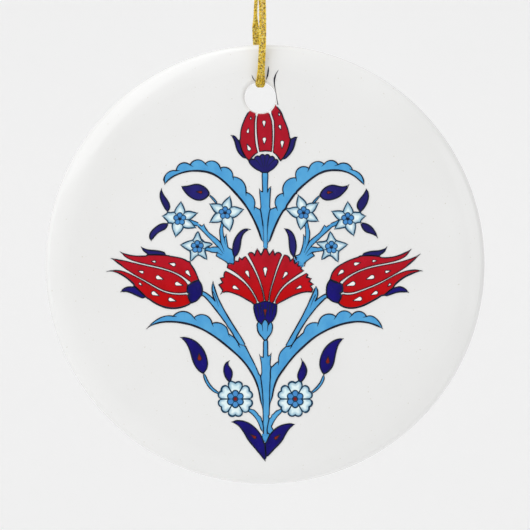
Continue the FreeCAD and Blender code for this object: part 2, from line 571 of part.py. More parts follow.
ENAMELS = {
    "top_tulip_petals": (TOP_TULIP_PETALS, FACE),
    "top_tulip_tips": (TOP_TULIP_TIPS, FACE),
    "top_tulip_sepals": (TOP_TULIP_SEPALS, FACE),
    "top_tulip_calyx": (TOP_CALYX, FACE),
    "left_tulip_petals": (LEFT_TULIP_PETALS, FACE),
    "left_tulip_sepals": (LEFT_TULIP_SEPALS, FACE),
    "left_tulip_calyx": (LEFT_TULIP_CALYX, FACE),
    "right_tulip_petals": (RIGHT_TULIP_PETALS, FACE),
    "right_tulip_sepals": (RIGHT_TULIP_SEPALS, FACE),
    "right_tulip_calyx": (RIGHT_TULIP_CALYX, FACE),
    "tulip_spots": (TULIP_SPOTS, OVER_FACE),
    "carnation_petals": (CARNATION_PETALS, FACE),
    "carnation_cup": (CARNATION_CUP, FACE),
    "carnation_calyx": (CARNATION_CALYX, FACE),
    "carnation_spots": (CARNATION_SPOTS, OVER_FACE),
    "carnation_slit": (CARNATION_SLIT, OVER_FACE),
    "upper_left_plume": (UPPER_LEFT_PLUME, FACE),
    "upper_right_plume": (UPPER_RIGHT_PLUME, FACE),
    "lower_left_plume": (LOWER_LEFT_PLUME, FACE),
    "lower_right_plume": (LOWER_RIGHT_PLUME, FACE),
    "top_stem": (TOP_STEM, FACE),
    "centre_stem": (CENTRE_STEM, FACE),
    "left_tulip_stem": (LEFT_TULIP_STEM, FACE),
    "right_tulip_stem": (RIGHT_TULIP_STEM, FACE),
    "left_spray_stems": (LEFT_SPRAY_STEMS, FACE),
    "right_spray_stems": (RIGHT_SPRAY_STEMS, FACE),
    "rosette_stems": (ROSETTE_STEMS, FACE),
    "upper_left_leaves": (UPPER_LEFT_LEAVES, FACE),
    "upper_right_leaves": (UPPER_RIGHT_LEAVES, FACE),
    "lower_left_leaves": (LOWER_LEFT_LEAVES, FACE),
    "lower_right_leaves": (LOWER_RIGHT_LEAVES, FACE),
    "bottom_leaves": (BOTTOM_LEAVES, FACE),
    "leaf_spots": (LEAF_SPOTS, OVER_FACE),
    "left_star_flowers": ([star(c, tips) for c, tips in LEFT_STARS.items()], FACE),
    "right_star_flowers": ([star(c, tips) for c, tips in RIGHT_STARS.items()], FACE),
    "star_flower_eyes": (
        [foil(c, STAR_EYE_RADIUS, [STAR_EYE_NOTCH], 5, 18) for c in [*LEFT_STARS, *RIGHT_STARS]],
        OVER_FACE,
    ),
    "star_flower_hearts": (
        [foil(c, STAR_HEART_RADIUS, [STAR_HEART_RADIUS], 3, 0)
         for c in [*LEFT_STARS, *RIGHT_STARS]],
        OVER_EYE,
    ),
    "rosette_petals": (
        [foil(c, ROSETTE_RADIUS, ROSETTE_NOTCHES, 12, 15) for c in ROSETTES],
        FACE,
    ),
    "rosette_eyes": (
        [foil(c, ROSETTE_EYE_RADIUS, [ROSETTE_EYE_NOTCH], 6, 30) for c in ROSETTES],
        OVER_FACE,
    ),
    "rosette_beads": (
        [foil(c, BEAD_RADIUS, [BEAD_RADIUS], BEAD_LOBES, 0) for c in ROSETTES],
        OVER_EYE,
    ),
}

# ---------------------------------------------------------------------------------------
# Document helpers
# ---------------------------------------------------------------------------------------


def make_sheet(doc):
    """The driving dimensions, one aliased cell each."""
    sheet = doc.addObject("Spreadsheet::Sheet", "Sizes")
    for row, (name, value) in enumerate(SIZES.items(), start=1):
        sheet.set(f"A{row}", name)
        sheet.set(f"B{row}", str(value))
        sheet.setAlias(f"B{row}", name)
    doc.recompute()
    return sheet


def origin_feature(body, role):
    """One of a body's own origin planes or axes."""
    return next(f for f in body.Origin.OriginFeatures if f.Role == role)


def make_body(doc, name):
    """A body modelled about the disc's centre, hung below the origin."""
    body = doc.addObject("PartDesign::Body", name)
    body.Label = name
    body.setExpression("Placement.Base.x", "Sizes.hole_left")
    body.setExpression("Placement.Base.z", "-Sizes.hang_drop")
    return body


def make_sketch(body, name, role):
    """A sketch on one of the body's own origin planes."""
    sketch = body.newObject("Sketcher::SketchObject", name)
    sketch.AttachmentSupport = [(origin_feature(body, role), "")]
    sketch.MapMode = "FlatFace"
    return sketch


def span_curve(start, points):
    """A line, an arc or a smooth curve from start through these points."""
    path = [Vector(x, up, 0) for x, up in [start, *points]]
    if len(path) == 2:
        return Part.LineSegment(*path)
    if len(path) == 3:
        return Part.Arc(*path)
    curve = Part.BSplineCurve()
    curve.interpolate(path)
    return curve


def add_outline(sketch, outline):
    """Draws a closed outline into a sketch whose axes are across and up."""
    start = outline[-1][-1]
    for span in outline:
        sketch.addGeometry(span_curve(start, span), False)
        start = span[-1]


# ---------------------------------------------------------------------------------------
# The ceramic disc
# ---------------------------------------------------------------------------------------


def bind(sketch, kind, references, expression, value):
    """A sketch dimension driven by the sheet."""
    index = sketch.addConstraint(Sketcher.Constraint(kind, *references, value))
    sketch.setExpression(f"Constraints[{index}]", expression)


def draw_disc_section(sketch):
    """Half of the disc's section: sketch x is the radius and sketch y the thickness."""
    half = SIZES["disc_thickness"] / 2
    radius = SIZES["disc_diameter"] / 2
    pillow, rim = SIZES["pillow_radius"], SIZES["rim_radius"]
    rim_centre = radius - rim
    flat = rim_centre - math.sqrt((pillow - rim) ** 2 - (pillow - half) ** 2)
    lean = math.atan2(pillow - half, rim_centre - flat)
    touch = (rim_centre + rim * math.cos(lean), rim * math.sin(lean))
    middle = (math.pi / 2 + lean) / 2
    belly = (flat + pillow * math.cos(middle), half - pillow + pillow * math.sin(middle))

    front = [Vector(x, -y, 0) for x, y in [(0, half), (flat, half), belly, touch]]
    back = [Vector(x, y, 0) for x, y in [touch, belly, (flat, half), (0, half)]]
    line_front, pillow_front, edge, pillow_back, line_back, axis = range(6)
    sketch.addGeometry(Part.LineSegment(front[0], front[1]), False)
    sketch.addGeometry(Part.Arc(*front[1:]), False)
    sketch.addGeometry(Part.Arc(front[3], Vector(radius, 0, 0), back[0]), False)
    sketch.addGeometry(Part.Arc(*back[:3]), False)
    sketch.addGeometry(Part.LineSegment(back[2], back[3]), False)
    sketch.addGeometry(Part.LineSegment(back[3], front[0]), False)

    start, end, centre, origin, across_axis = 1, 2, 3, -1, -1
    for curve in (line_front, pillow_front, edge, pillow_back):
        sketch.addConstraint(Sketcher.Constraint("Tangent", curve, end, curve + 1, start))
    sketch.addConstraint(Sketcher.Constraint("Coincident", line_back, end, axis, start))
    sketch.addConstraint(Sketcher.Constraint("Coincident", axis, end, line_front, start))
    sketch.addConstraint(Sketcher.Constraint("Horizontal", line_front))
    sketch.addConstraint(Sketcher.Constraint("Horizontal", line_back))
    sketch.addConstraint(Sketcher.Constraint("Vertical", axis))
    sketch.addConstraint(Sketcher.Constraint("Symmetric", axis, start, axis, end, origin, start))
    sketch.addConstraint(Sketcher.Constraint("PointOnObject", edge, centre, across_axis))
    sketch.addConstraint(Sketcher.Constraint("Equal", pillow_front, pillow_back))
    bind(sketch, "Radius", (pillow_front,), "Sizes.pillow_radius", pillow)
    bind(sketch, "Radius", (edge,), "Sizes.rim_radius", rim)
    bind(sketch, "DistanceY", (axis, end, axis, start), "Sizes.disc_thickness", 2 * half)
    bind(sketch, "DistanceX", (origin, start, edge, centre),
         "Sizes.disc_diameter / 2 - Sizes.rim_radius", rim_centre)


def hole_edge_names(shape):
    """The hole's two round edges, front and back."""
    hole_radius = SIZES["hole_diameter"] / 2
    return [
        f"Edge{i}"
        for i, edge in enumerate(shape.Edges, start=1)
        if hasattr(edge.Curve, "Radius") and abs(edge.Curve.Radius - hole_radius) < 1e-3
    ]


def make_disc(doc):
    """Round disc with two flat faces, a pillowed rim and a hole with rounded edges."""
    body = make_body(doc, "ceramic_disc")
    section = make_sketch(body, "disc_section", "XY_Plane")
    draw_disc_section(section)
    turned = body.newObject("PartDesign::Revolution", "disc_turned")
    turned.Profile = section
    turned.ReferenceAxis = (section, ["V_Axis"])
    turned.Angle = 360
    doc.recompute()

    outline = make_sketch(body, "hole_outline", "XZ_Plane")
    left, up, width = SIZES["hole_left"], SIZES["hole_up"], SIZES["hole_diameter"]
    outline.addGeometry(Part.Circle(Vector(-left, up, 0), Vector(0, 0, 1), width / 2), False)
    circle, start, centre, origin = 0, 1, 3, -1
    bind(outline, "Diameter", (circle,), "Sizes.hole_diameter", width)
    bind(outline, "DistanceX", (circle, centre, origin, start), "Sizes.hole_left", left)
    bind(outline, "DistanceY", (origin, start, circle, centre), "Sizes.hole_up", up)
    hole = body.newObject("PartDesign::Pocket", "cord_hole")
    hole.Profile = outline
    hole.Type = "ThroughAll"
    hole.Midplane = True
    doc.recompute()

    rounding = body.newObject("PartDesign::Fillet", "hole_rounding")
    rounding.Base = (hole, hole_edge_names(hole.Shape))
    rounding.setExpression("Radius", "Sizes.hole_rounding")


# ---------------------------------------------------------------------------------------
# Enamels
# ---------------------------------------------------------------------------------------

COAT_OFFSETS = {
    FACE: "Sizes.disc_thickness / 2",
    OVER_FACE: "Sizes.disc_thickness / 2 + Sizes.enamel_thickness",
    OVER_EYE: "Sizes.disc_thickness / 2 + Sizes.enamel_thickness + Sizes.spot_thickness",
}


def make_enamel(doc, name, outlines, coat):
    """One colour's raised fields, padded off the face or off the coat below."""
    body = make_body(doc, name)
    sketch = make_sketch(body, f"{name}_outlines", "XZ_Plane")
    sketch.setExpression("AttachmentOffset.Base.z", COAT_OFFSETS[coat])
    for outline in outlines:
        add_outline(sketch, outline)
    pad = body.newObject("PartDesign::Pad", f"{name}_coat")
    pad.Profile = sketch
    thickness = "enamel_thickness" if coat == FACE else "spot_thickness"
    pad.setExpression("Length", f"Sizes.{thickness}")
    return body


# ---------------------------------------------------------------------------------------
# The cord
# ---------------------------------------------------------------------------------------


def route_path(points, edge_turns, edge_radius):
    """Straight runs joined by tangent arcs, with the radius of each arc."""
    edges, radii = [], []
    here = points[0]
    for i in range(1, len(points) - 1):
        before, corner, after = points[i - 1], points[i], points[i + 1]
        inward = (before - corner).normalize()
        onward = (after - corner).normalize()
        half_turn = (math.pi - inward.getAngle(onward)) / 2
        shorter = min((before - corner).Length, (after - corner).Length)
        radius = TURN_SHARE * shorter / math.tan(half_turn)
        if i in edge_turns:
            radius = edge_radius
        reach = radius * math.tan(half_turn)
        bisector = (inward + onward).normalize()
        depth = radius / math.cos(half_turn) - radius
        arc_start = corner + inward * reach
        arc_end = corner + onward * reach
        edges.append(Part.LineSegment(here, arc_start).toShape())
        edges.append(Part.Arc(arc_start, corner + bisector * depth, arc_end).toShape())
        radii.append(radius)
        here = arc_end
    edges.append(Part.LineSegment(here, points[-1]).toShape())
    return Part.Wire(edges), radii


def make_cord(doc):
    """The cord as a plain tube, ending level with the knot's flat underside."""
    points = [Vector(*point) for point in CORD_ROUTE]
    path, radii = route_path(points, EDGE_TURNS, SIZES["edge_turn_radius"])
    radius = SIZES["cord_width"] / 2
    section = Part.Wire(Part.makeCircle(radius, points[0], points[1] - points[0]))
    tube = path.makePipeShell([section], True, False)
    knot_base = SIZES["hang_drop"] + SIZES["hook_wire"] / 2
    reach = SIZES["disc_diameter"]
    below = Part.makeBox(reach, reach, reach, Vector(-reach / 2, -reach / 2, knot_base - reach))
    cord = doc.addObject("Part::Feature", "hanging_cord")
    cord.Label = "hanging_cord"
    cord.Shape = tube.common(below)
    cord.Placement = FreeCAD.Placement(
        Vector(SIZES["hole_left"], 0, -SIZES["hang_drop"]), FreeCAD.Rotation()
    )
    whole = math.pi * radius**2 * path.Length
    print("cord length", round(path.Length, 2), "radii", [round(r, 1) for r in radii])
    print("tube volume over section times length", round(tube.Volume / whole, 4))


def make_knot(doc):
    """The knot as a plain barrel that sits on the hook's wire."""
    body = doc.addObject("PartDesign::Body", "cord_knot")
    body.Label = "cord_knot"
    body.setExpression("Placement.Base.z", "Sizes.hook_wire / 2")
    outline = make_sketch(body, "knot_outline", "XY_Plane")
    width = SIZES["knot_width"]
    outline.addGeometry(Part.Circle(Vector(0, 0, 0), Vector(0, 0, 1), width / 2), False)
    bind(outline, "Diameter", (0,), "Sizes.knot_width", width)
    outline.addConstraint(Sketcher.Constraint("Coincident", 0, 3, -1, 1))
    barrel = body.newObject("PartDesign::Pad", "knot_barrel")
    barrel.Profile = outline
    barrel.setExpression("Length", "Sizes.knot_height")
    doc.recompute()
    rounding = body.newObject("PartDesign::Fillet", "knot_rounding")
    round_edges = [
        f"Edge{i}" for i, edge in enumerate(barrel.Shape.Edges, start=1) if edge.isClosed()
    ]
    rounding.Base = (barrel, round_edges)
    rounding.setExpression("Radius", "Sizes.knot_rounding")


def make_tail(doc, name, side):
    """A cut end of the cord that stands up from the knot; side is -1 or 1."""
    tail = doc.addObject("Part::Cylinder", name)
    tail.Label = name
    tail.setExpression("Radius", "Sizes.cord_width / 2")
    tail.setExpression("Height", "Sizes.tail_length")
    tail.setExpression("Placement.Base.x", f"{side} * Sizes.tail_spacing / 2")
    tail.setExpression("Placement.Base.z", "Sizes.hook_wire / 2 + Sizes.knot_height")


# ---------------------------------------------------------------------------------------
# Building and export
# ---------------------------------------------------------------------------------------


def check(doc, nodes):
    """Stops if any object failed or any sub-part isn't a sound solid."""
    for item in doc.Objects:
        if {"Invalid", "Error"} & set(item.State):
            raise RuntimeError(f"{item.Name} is {item.State}")
    for node in nodes:
        shape = node.Shape
        if shape.isNull() or not shape.isValid() or not shape.Solids:
            raise RuntimeError(f"{node.Label} has no valid solid")


def main():
    doc = FreeCAD.newDocument("ceramic_ornament")
    make_sheet(doc)
    make_disc(doc)
    for name, (outlines, coat) in ENAMELS.items():
        make_enamel(doc, name, outlines, coat)
    make_cord(doc)
    make_knot(doc)
    make_tail(doc, "cord_tail_left", -1)
    make_tail(doc, "cord_tail_right", 1)
    doc.recompute()

    nodes = [
        item
        for item in doc.Objects
        if item.TypeId in ("PartDesign::Body", "Part::Cylinder", "Part::Feature")
    ]
    check(doc, nodes)
    os.makedirs("parts", exist_ok=True)
    for node in nodes:
        node.Shape.exportStep(f"parts/{node.Label}.step")
        solids = len(node.Shape.Solids)
        print(f"{node.Label}: {solids} solids, {node.Shape.Volume:.3f} mm3")


main()
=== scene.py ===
"""Looks of the hanging ceramic ornament: glazed disc, raised painted enamels, braided gold cord.

Everything is in metres in the row frame: +Z up, the painted face towards -Y, and the origin
at the hang point. Paint work is done in millimetres in the plane of the face, as (x, z).
"""

import json
import math

import bpy
import numpy as np
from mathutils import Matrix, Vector
from mathutils.geometry import delaunay_2d_cdt


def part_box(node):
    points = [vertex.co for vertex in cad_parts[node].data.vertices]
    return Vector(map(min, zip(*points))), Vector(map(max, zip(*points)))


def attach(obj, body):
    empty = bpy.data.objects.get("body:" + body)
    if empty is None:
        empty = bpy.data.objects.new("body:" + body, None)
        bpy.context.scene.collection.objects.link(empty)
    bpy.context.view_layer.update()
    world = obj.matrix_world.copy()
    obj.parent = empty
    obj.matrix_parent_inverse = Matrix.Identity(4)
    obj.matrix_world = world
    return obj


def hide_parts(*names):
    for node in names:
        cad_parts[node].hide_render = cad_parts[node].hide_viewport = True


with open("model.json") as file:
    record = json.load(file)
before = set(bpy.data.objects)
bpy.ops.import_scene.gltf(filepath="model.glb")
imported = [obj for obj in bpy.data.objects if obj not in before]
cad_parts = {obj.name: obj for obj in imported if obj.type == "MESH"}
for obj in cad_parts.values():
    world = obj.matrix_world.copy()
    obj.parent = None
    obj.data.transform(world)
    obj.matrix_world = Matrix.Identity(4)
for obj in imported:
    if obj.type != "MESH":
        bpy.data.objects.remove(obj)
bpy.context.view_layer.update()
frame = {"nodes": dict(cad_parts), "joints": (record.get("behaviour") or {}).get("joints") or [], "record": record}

MM = 0.001

# The disc, read from its solid and from the joint, whose axis is the hole's.
DISC_LOW, DISC_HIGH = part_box("ceramic_disc")
DISC_CENTRE = (DISC_LOW + DISC_HIGH) / 2
HALF_THICKNESS = (DISC_HIGH.y - DISC_LOW.y) / 2 / MM
CENTRE_X, CENTRE_Z = DISC_CENTRE.x / MM, DISC_CENTRE.z / MM
HOLE_X, _, HOLE_Z = (value / MM for value in frame["joints"][0]["pos_m"])
HOLE_RADIUS, HOLE_ROUNDING = 2.62, 0.7

# How the enamels lie on the glaze, in mm.
COAT = 0.08  # a colour's thickness
SPOT_COAT = 0.05  # a second colour's thickness over the first
ROUNDED_EDGE = 0.16  # how far in from its outline a colour reaches its full thickness
SUNK = 0.012  # how far the underside of a colour lies in the glaze

# How closely outlines are followed, in mm.
JOIN_SPACING, LINE_SPACING, BROAD_SPACING, FINE_SPACING = 0.11, 0.10, 0.15, 0.09


# The face and its outlines
# -------------------------


def eased(share):
    """A share from 0 to 1 that sets off and arrives gently."""
    return share * share * (3 - 2 * share)


def on_disc(places):
    """Places in mm that are given about the disc's centre, in the row frame."""
    return np.asarray(places, float) + (CENTRE_X, CENTRE_Z)


def face_depth(x, z):
    """Depth y in mm of the disc's front surface, which dips round the hole."""
    from_hole = np.hypot(x - HOLE_X, z - HOLE_Z)
    dip = np.clip(HOLE_RADIUS + HOLE_ROUNDING - from_hole, 0, HOLE_ROUNDING)
    return -HALF_THICKNESS + HOLE_ROUNDING - np.sqrt(HOLE_ROUNDING**2 - dip**2)


def outlines_of(node):
    """The closed outlines of a CAD node's front faces, each an (n, 2) array of x, z in mm."""
    mesh = frame["nodes"][node].data
    corners = np.array([v.co for v in mesh.vertices]) / MM
    front = corners[:, 1].min() + 0.002
    keys = [tuple(np.round(c[[0, 2]], 4)) for c in corners]
    sides = {}
    for polygon in mesh.polygons:
        if any(corners[i][1] > front for i in polygon.vertices):
            continue
        ring = [keys[i] for i in polygon.vertices]
        for a, b in zip(ring, ring[1:] + ring[:1]):
            if (b, a) in sides:
                del sides[(b, a)]
            elif a != b:
                sides[(a, b)] = True
    following = {a: b for a, b in sides}
    loops = []
    while following:
        start, here = following.popitem()
        loop = [start]
        while here != start:
            loop.append(here)
            here = following.pop(here)
        loops.append(np.array(loop))
    loops.sort(key=lambda loop: tuple(loop.mean(axis=0)))
    return [loop if signed_area(loop) > 0 else loop[::-1] for loop in loops]


def signed_area(loop):
    x, z = loop.T
    return 0.5 * float(np.sum(x * np.roll(z, -1) - np.roll(x, -1) * z))


def turns_of(loop):
    """The turn in degrees at each point of a loop, positive to the left."""
    arrive = loop - np.roll(loop, 1, axis=0)
    leave = np.roll(loop, -1, axis=0) - loop
    angle = np.arctan2(leave[:, 1], leave[:, 0]) - np.arctan2(arrive[:, 1], arrive[:, 0])
    return np.degrees((angle + np.pi) % (2 * np.pi) - np.pi)


CORNER_TURN = 42.0  # a turn above this, in degrees, is a corner and not part of a curve


def even_points(loop, spacing):
    """The same outline with even spacing between its corners."""
    corners = np.flatnonzero(np.abs(turns_of(loop)) > CORNER_TURN)
    if len(corners) == 0:
        corners = np.array([0])
    points = []
    for first, last in zip(corners, np.roll(corners, -1)):
        last = last if last > first else last + len(loop)
        stretch = loop[np.arange(first, last + 1) % len(loop)]
        steps = np.hypot(*np.diff(stretch, axis=0).T)
        along = np.concatenate([[0], np.cumsum(steps)])
        count = max(2, round(along[-1] / spacing))
        at = np.linspace(0, along[-1], count + 1)[:-1]
        points.append(np.column_stack([np.interp(at, along, axis) for axis in stretch.T]))
    return np.vstack(points)


def inside(points, loop):
    """Which points lie inside a loop."""
    x, z = points[:, 0][:, None], points[:, 1][:, None]
    x1, z1 = loop.T
    x2, z2 = np.roll(loop, -1, axis=0).T
    crosses = (z1 > z) != (z2 > z)
    rise = np.where(z2 == z1, 1e-12, z2 - z1)
    left = x < (x2 - x1) * (z - z1) / rise + x1
    return np.sum(crosses & left, axis=1) % 2 == 1


def distance_to(points, loop):
    """Each point's distance to a loop's outline."""
    a, b = loop, np.roll(loop, -1, axis=0)
    side = b - a
    length2 = np.maximum(np.sum(side**2, axis=1), 1e-12)
    best = np.full(len(points), np.inf)
    for chunk in range(0, len(points), 2000):
        p = points[chunk : chunk + 2000][:, None, :]
        t = np.clip(np.sum((p - a) * side, axis=2) / length2, 0, 1)
        gap = p - (a + t[:, :, None] * side)
        best[chunk : chunk + 2000] = np.sqrt(np.min(np.sum(gap**2, axis=2), axis=1))
    return best


# The top tulip's petals end on the hole's rounded edge. Distances in mm from its axis: where
# they end, and between which two of them the outline is moved less and less.
PETAL_END, MOVED_WITHIN, KEPT_BEYOND = 2.76, 3.5, 4.4
# The right petal's tip also rises beside the hole. In mm about the disc's centre.
TIP_LEFT, TIP_FOOT, TIP_LENGTH, TIP_RISE = 1.8, 25.6, 1.25, 1.25


def reach_to_hole(loop):
    """Draws an outline that stops short of the hole on over its rounded edge."""
    loop = loop.copy()
    up_the_tip = np.clip((loop[:, 1] - CENTRE_Z - TIP_FOOT) / TIP_LENGTH, 0, 1) ** 2
    loop[:, 1] += TIP_RISE * up_the_tip * (loop[:, 0] > CENTRE_X + TIP_LEFT)
    away = loop - (HOLE_X, HOLE_Z)
    distance = np.hypot(*away.T)
    share = eased(np.clip((KEPT_BEYOND - distance) / (KEPT_BEYOND - MOVED_WITHIN), 0, 1))
    wanted = distance + share * (PETAL_END - distance)
    return (HOLE_X, HOLE_Z) + away * (wanted / distance)[:, None]


WHITE_GAPS = ("petals",)  # a motif's petals keep most of the white between them
KEEP_WHITE = [
    {"top_tulip_calyx", "top_tulip_petals"},
    {"left_tulip_petals", "lower_left_plume"},
    {"right_tulip_petals", "lower_right_plume"},
    {"left_tulip_stem", "carnation_petals"},
    {"right_tulip_stem", "carnation_petals"},
]
STALK_AREA = 0.5  # an outline smaller than this, in mm2, is a flower's short stalk
STALK_GROWTH = 2.2
CARNATION_CUP = on_disc((0, -6.6))  # where its petals' white gaps run together
FIXED = ("star_flowers", "rosette_petals", "leaves")  # stems come to these, not half way

# Fields less than a reach apart are drawn together, fully from JOIN_FADE mm closer.
JOIN_REACH, STEM_REACH, LOWER_PLUME_REACH, JOIN_FADE = 0.55, 0.8, 0.38, 0.18
# The share of a white gap that each petal closes, and the gap from which it closes less.
PETAL_SHARE, CARNATION_SHARE, WIDE_GAP = 0.10, 0.24, 1.0


def lengthened(loop, factor):
    """A slim outline drawn out along its own length."""
    centre = loop.mean(axis=0)
    along = np.linalg.svd(loop - centre)[2][0]
    return loop + np.outer((loop - centre) @ along, along) * (factor - 1)


def share_closed(node, other, loop, gap):
    """The share of its gap to another outline that each point of a node's outline closes."""
    if node == other and node.endswith(WHITE_GAPS):
        share = PETAL_SHARE
        if node == "carnation_petals":
            from_cup = np.hypot(*(loop - CARNATION_CUP).T)
            share = CARNATION_SHARE * np.clip((7.0 - from_cup) / 5.0, 0, 1)
        return share * np.clip((WIDE_GAP - gap) / 0.3, 0, 1)
    reach, part = JOIN_REACH, 0.5
    if "stem" in node and other.endswith(FIXED):
        reach, part = STEM_REACH, 1.0
    elif "stem" in other and node.endswith(FIXED):
        part = 0.0
    elif "tulip_stem" in node + other and "lower" in node + other:
        reach = LOWER_PLUME_REACH
    return eased(np.clip((reach - gap) / JOIN_FADE, 0, 1)) * part


def far_apart(loop, other):
    """Whether two outlines are more than 1 mm apart, going by their boxes."""
    return np.any(loop.min(0) - 1 > other.max(0)) or np.any(loop.max(0) + 1 < other.min(0))


def touching_outlines(nodes):
    """The nodes' outlines, drawn together where only a shared line parts them."""
    loops = []
    for node in nodes:
        for loop in outlines_of(node):
            loop = reach_to_hole(loop) if node == "top_tulip_petals" else loop
            loops.append((node, even_points(loop, JOIN_SPACING)))
    joined = {node: [] for node in nodes}
    for i, (node, loop) in enumerate(loops):
        if abs(signed_area(loop)) < STALK_AREA:
            joined[node].append(lengthened(loop, STALK_GROWTH))
            continue
        moved = loop.copy()
        nearest = np.full(len(loop), np.inf)
        for j, (other, points) in enumerate(loops):
            stalk = abs(signed_area(points)) < STALK_AREA
            under_flower = "stem" in node + other and "star_flowers" in node + other
            if i == j or stalk or under_flower or {node, other} in KEEP_WHITE:
                continue
            if far_apart(loop, points):
                continue
            apart = points[None, :, :] - loop[:, None, :]
            gaps = np.hypot(apart[..., 0], apart[..., 1])
            closest = gaps.argmin(axis=1)
            gap = gaps[np.arange(len(loop)), closest]
            share = share_closed(node, other, loop, gap)
            step = apart[np.arange(len(loop)), closest] * share[:, None]
            better = gap < nearest
            moved[better] = loop[better] + step[better]
            nearest = np.minimum(nearest, gap)
        joined[node].append(moved)
    return joined


# Mesh building
# -------------


def new_object(name, points_mm, faces, material, attributes=()):
    """A smooth mesh object from points in mm."""
    mesh = bpy.data.meshes.new(name)
    mesh.from_pydata([tuple(p) for p in np.asarray(points_mm) * MM], [], faces)
    mesh.validate()
    for label, values in attributes:
        layer = mesh.attributes.new(label, "FLOAT", "POINT")
        layer.data.foreach_set("value", np.asarray(values, np.float32))
    mesh.shade_smooth()
    mesh.materials.append(material)
    piece = bpy.data.objects.new(name, mesh)
    bpy.context.scene.collection.objects.link(piece)
    return piece


class Gathered:
    """The points and faces of several shapes, gathered into one mesh."""

    def __init__(self):
        self.points, self.faces, self.count = [], [], 0

    def add(self, points, faces):
        self.points.append(points)
        self.faces += [[self.count + i for i in face] for face in faces]
        self.count += len(points)

    def as_object(self, name, material, attributes=()):
        return new_object(name, np.vstack(self.points), self.faces, material, attributes)


def coated_field(loop, thickness, base_lift, spacing):
    """A colour's crowned field in one outline: points, faces, and distance in from the edge."""
    border = even_points(loop, spacing)
    low, high = border.min(axis=0), border.max(axis=0)
    row = spacing * math.sqrt(3) / 2
    grid = [np.zeros((0, 2))]
    for i, z in enumerate(np.arange(low[1], high[1], row)):
        xs = np.arange(low[0] + (i % 2) * spacing / 2, high[0], spacing)
        grid.append(np.column_stack([xs, np.full(len(xs), z)]))
    grid = np.vstack(grid)
    grid = grid[inside(grid, border)]
    grid = grid[distance_to(grid, border) > spacing * 0.45]
    ring = [(i, (i + 1) % len(border)) for i in range(len(border))]
    flat = [Vector(point) for point in np.vstack([border, grid])]
    made = delaunay_2d_cdt(flat, ring, [], 1, 1e-7)
    points = np.array([tuple(point) for point in made[0]])
    faces = [list(face) for face in made[2]]
    depth = distance_to(points, border)
    depth[depth < 1e-4] = 0.0
    share = np.clip(depth / ROUNDED_EDGE, 0, 1)
    lift = base_lift - SUNK + (thickness + SUNK) * np.sqrt(1 - (1 - share) ** 2)
    surface = face_depth(points[:, 0], points[:, 1])
    top = np.column_stack([points[:, 0], surface - lift, points[:, 1]])
    under = np.column_stack([points[:, 0], surface - base_lift + SUNK, points[:, 1]])
    # The underside shares the border's points with the top.
    inner = np.flatnonzero(depth > 0)
    lower = np.arange(len(points))
    lower[inner] = len(points) + np.arange(len(inner))
    faces += [[int(lower[i]) for i in reversed(face)] for face in faces]
    return np.vstack([top, under[inner]]), faces, np.concatenate([depth, depth[inner]])


def paint_field(node, loops, material, thickness, base_lift, spacing):
    """The crowned, glossy colour that stands for a CAD enamel node."""
    field, depths = Gathered(), []
    for loop in loops:
        points, faces, depth = coated_field(loop, thickness, base_lift, spacing)
        field.add(points, faces)
        depths.append(depth)
    from_edge = ("from_edge", np.concatenate(depths))
    piece = field.as_object(f"{node}_paint", material, [from_edge])
    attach(piece, "disc")
    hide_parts(node)


# A stroke's section: how far out, as a share of its half width, and how high, as a share of
# its height. Its two lowest edges lie in the glaze.
STROKE_SECTION = [
    (-1.0, None), (-0.86, 0.7), (-0.45, 0.95), (0.45, 0.95), (0.86, 0.7), (1.0, None)
]
FULL_HEIGHT_FROM = 0.09  # a stroke of a smaller half width than this, in mm, is lower


def stroke(path, half_widths, height, base_lift, closed):
    """One brush stroke along a path in the face: a low rounded ridge."""
    before = np.roll(path, 1, axis=0)
    after = np.roll(path, -1, axis=0)
    if not closed:
        before[0], after[-1] = path[0], path[-1]
    along = after - before
    along /= np.maximum(np.hypot(*along.T), 1e-9)[:, None]
    across = np.column_stack([-along[:, 1], along[:, 0]])
    full = np.minimum(1, half_widths / FULL_HEIGHT_FROM)
    points = []
    for share, lift in STROKE_SECTION:
        place = path + across * (half_widths * share)[:, None]
        raised = base_lift + (-SUNK if lift is None else height * lift * full)
        surface = face_depth(place[:, 0], place[:, 1])
        points.append(np.column_stack([place[:, 0], surface - raised, place[:, 1]]))
    count, rails = len(path), len(points)
    faces = []
    for i in range(count if closed else count - 1):
        j = (i + 1) % count
        for rail in range(rails):
            side = (rail + 1) % rails
            faces.append([rail * count + i, rail * count + j, side * count + j, side * count + i])
    if not closed:
        faces.append([rail * count for rail in range(rails)])
        faces.append([rail * count + count - 1 for rail in reversed(range(rails))])
    return np.vstack(points), faces


class Strokes(Gathered):
    """Many brush strokes gathered into one piece."""

    def draw(self, path, half_widths, height=0.11, base_lift=0.0, closed=True):
        self.add(*stroke(np.asarray(path, float), half_widths, height, base_lift, closed))

    def build(self, name, material, slot):
        piece = self.as_object(name, material)
        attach(piece, "disc")
        return piece


def hand_width(path, width, seed):
    """Half widths along a stroke, uneven as a brush leaves them."""
    steps = np.hypot(*np.diff(path, axis=0).T)
    along = np.concatenate([[0], np.cumsum(steps)])
    sway = 0.14 * np.sin(along / 1.1 + seed * 1.7) + 0.09 * np.sin(along / 0.37 + seed * 2.9)
    return width / 2 * (1 + sway)


def field_width(path, outward):
    """How wide a field is across from each point of its outline."""
    apart = path[None] - path[:, None]
    across = (outward @ outward.T < -0.3) & (np.einsum("ijk,ik->ij", apart, outward) < 0)
    return np.where(across, np.hypot(apart[..., 0], apart[..., 1]), np.inf).min(axis=1)


LINELESS_FADE = 0.12  # how gently an outline dies away at such a place, in mm


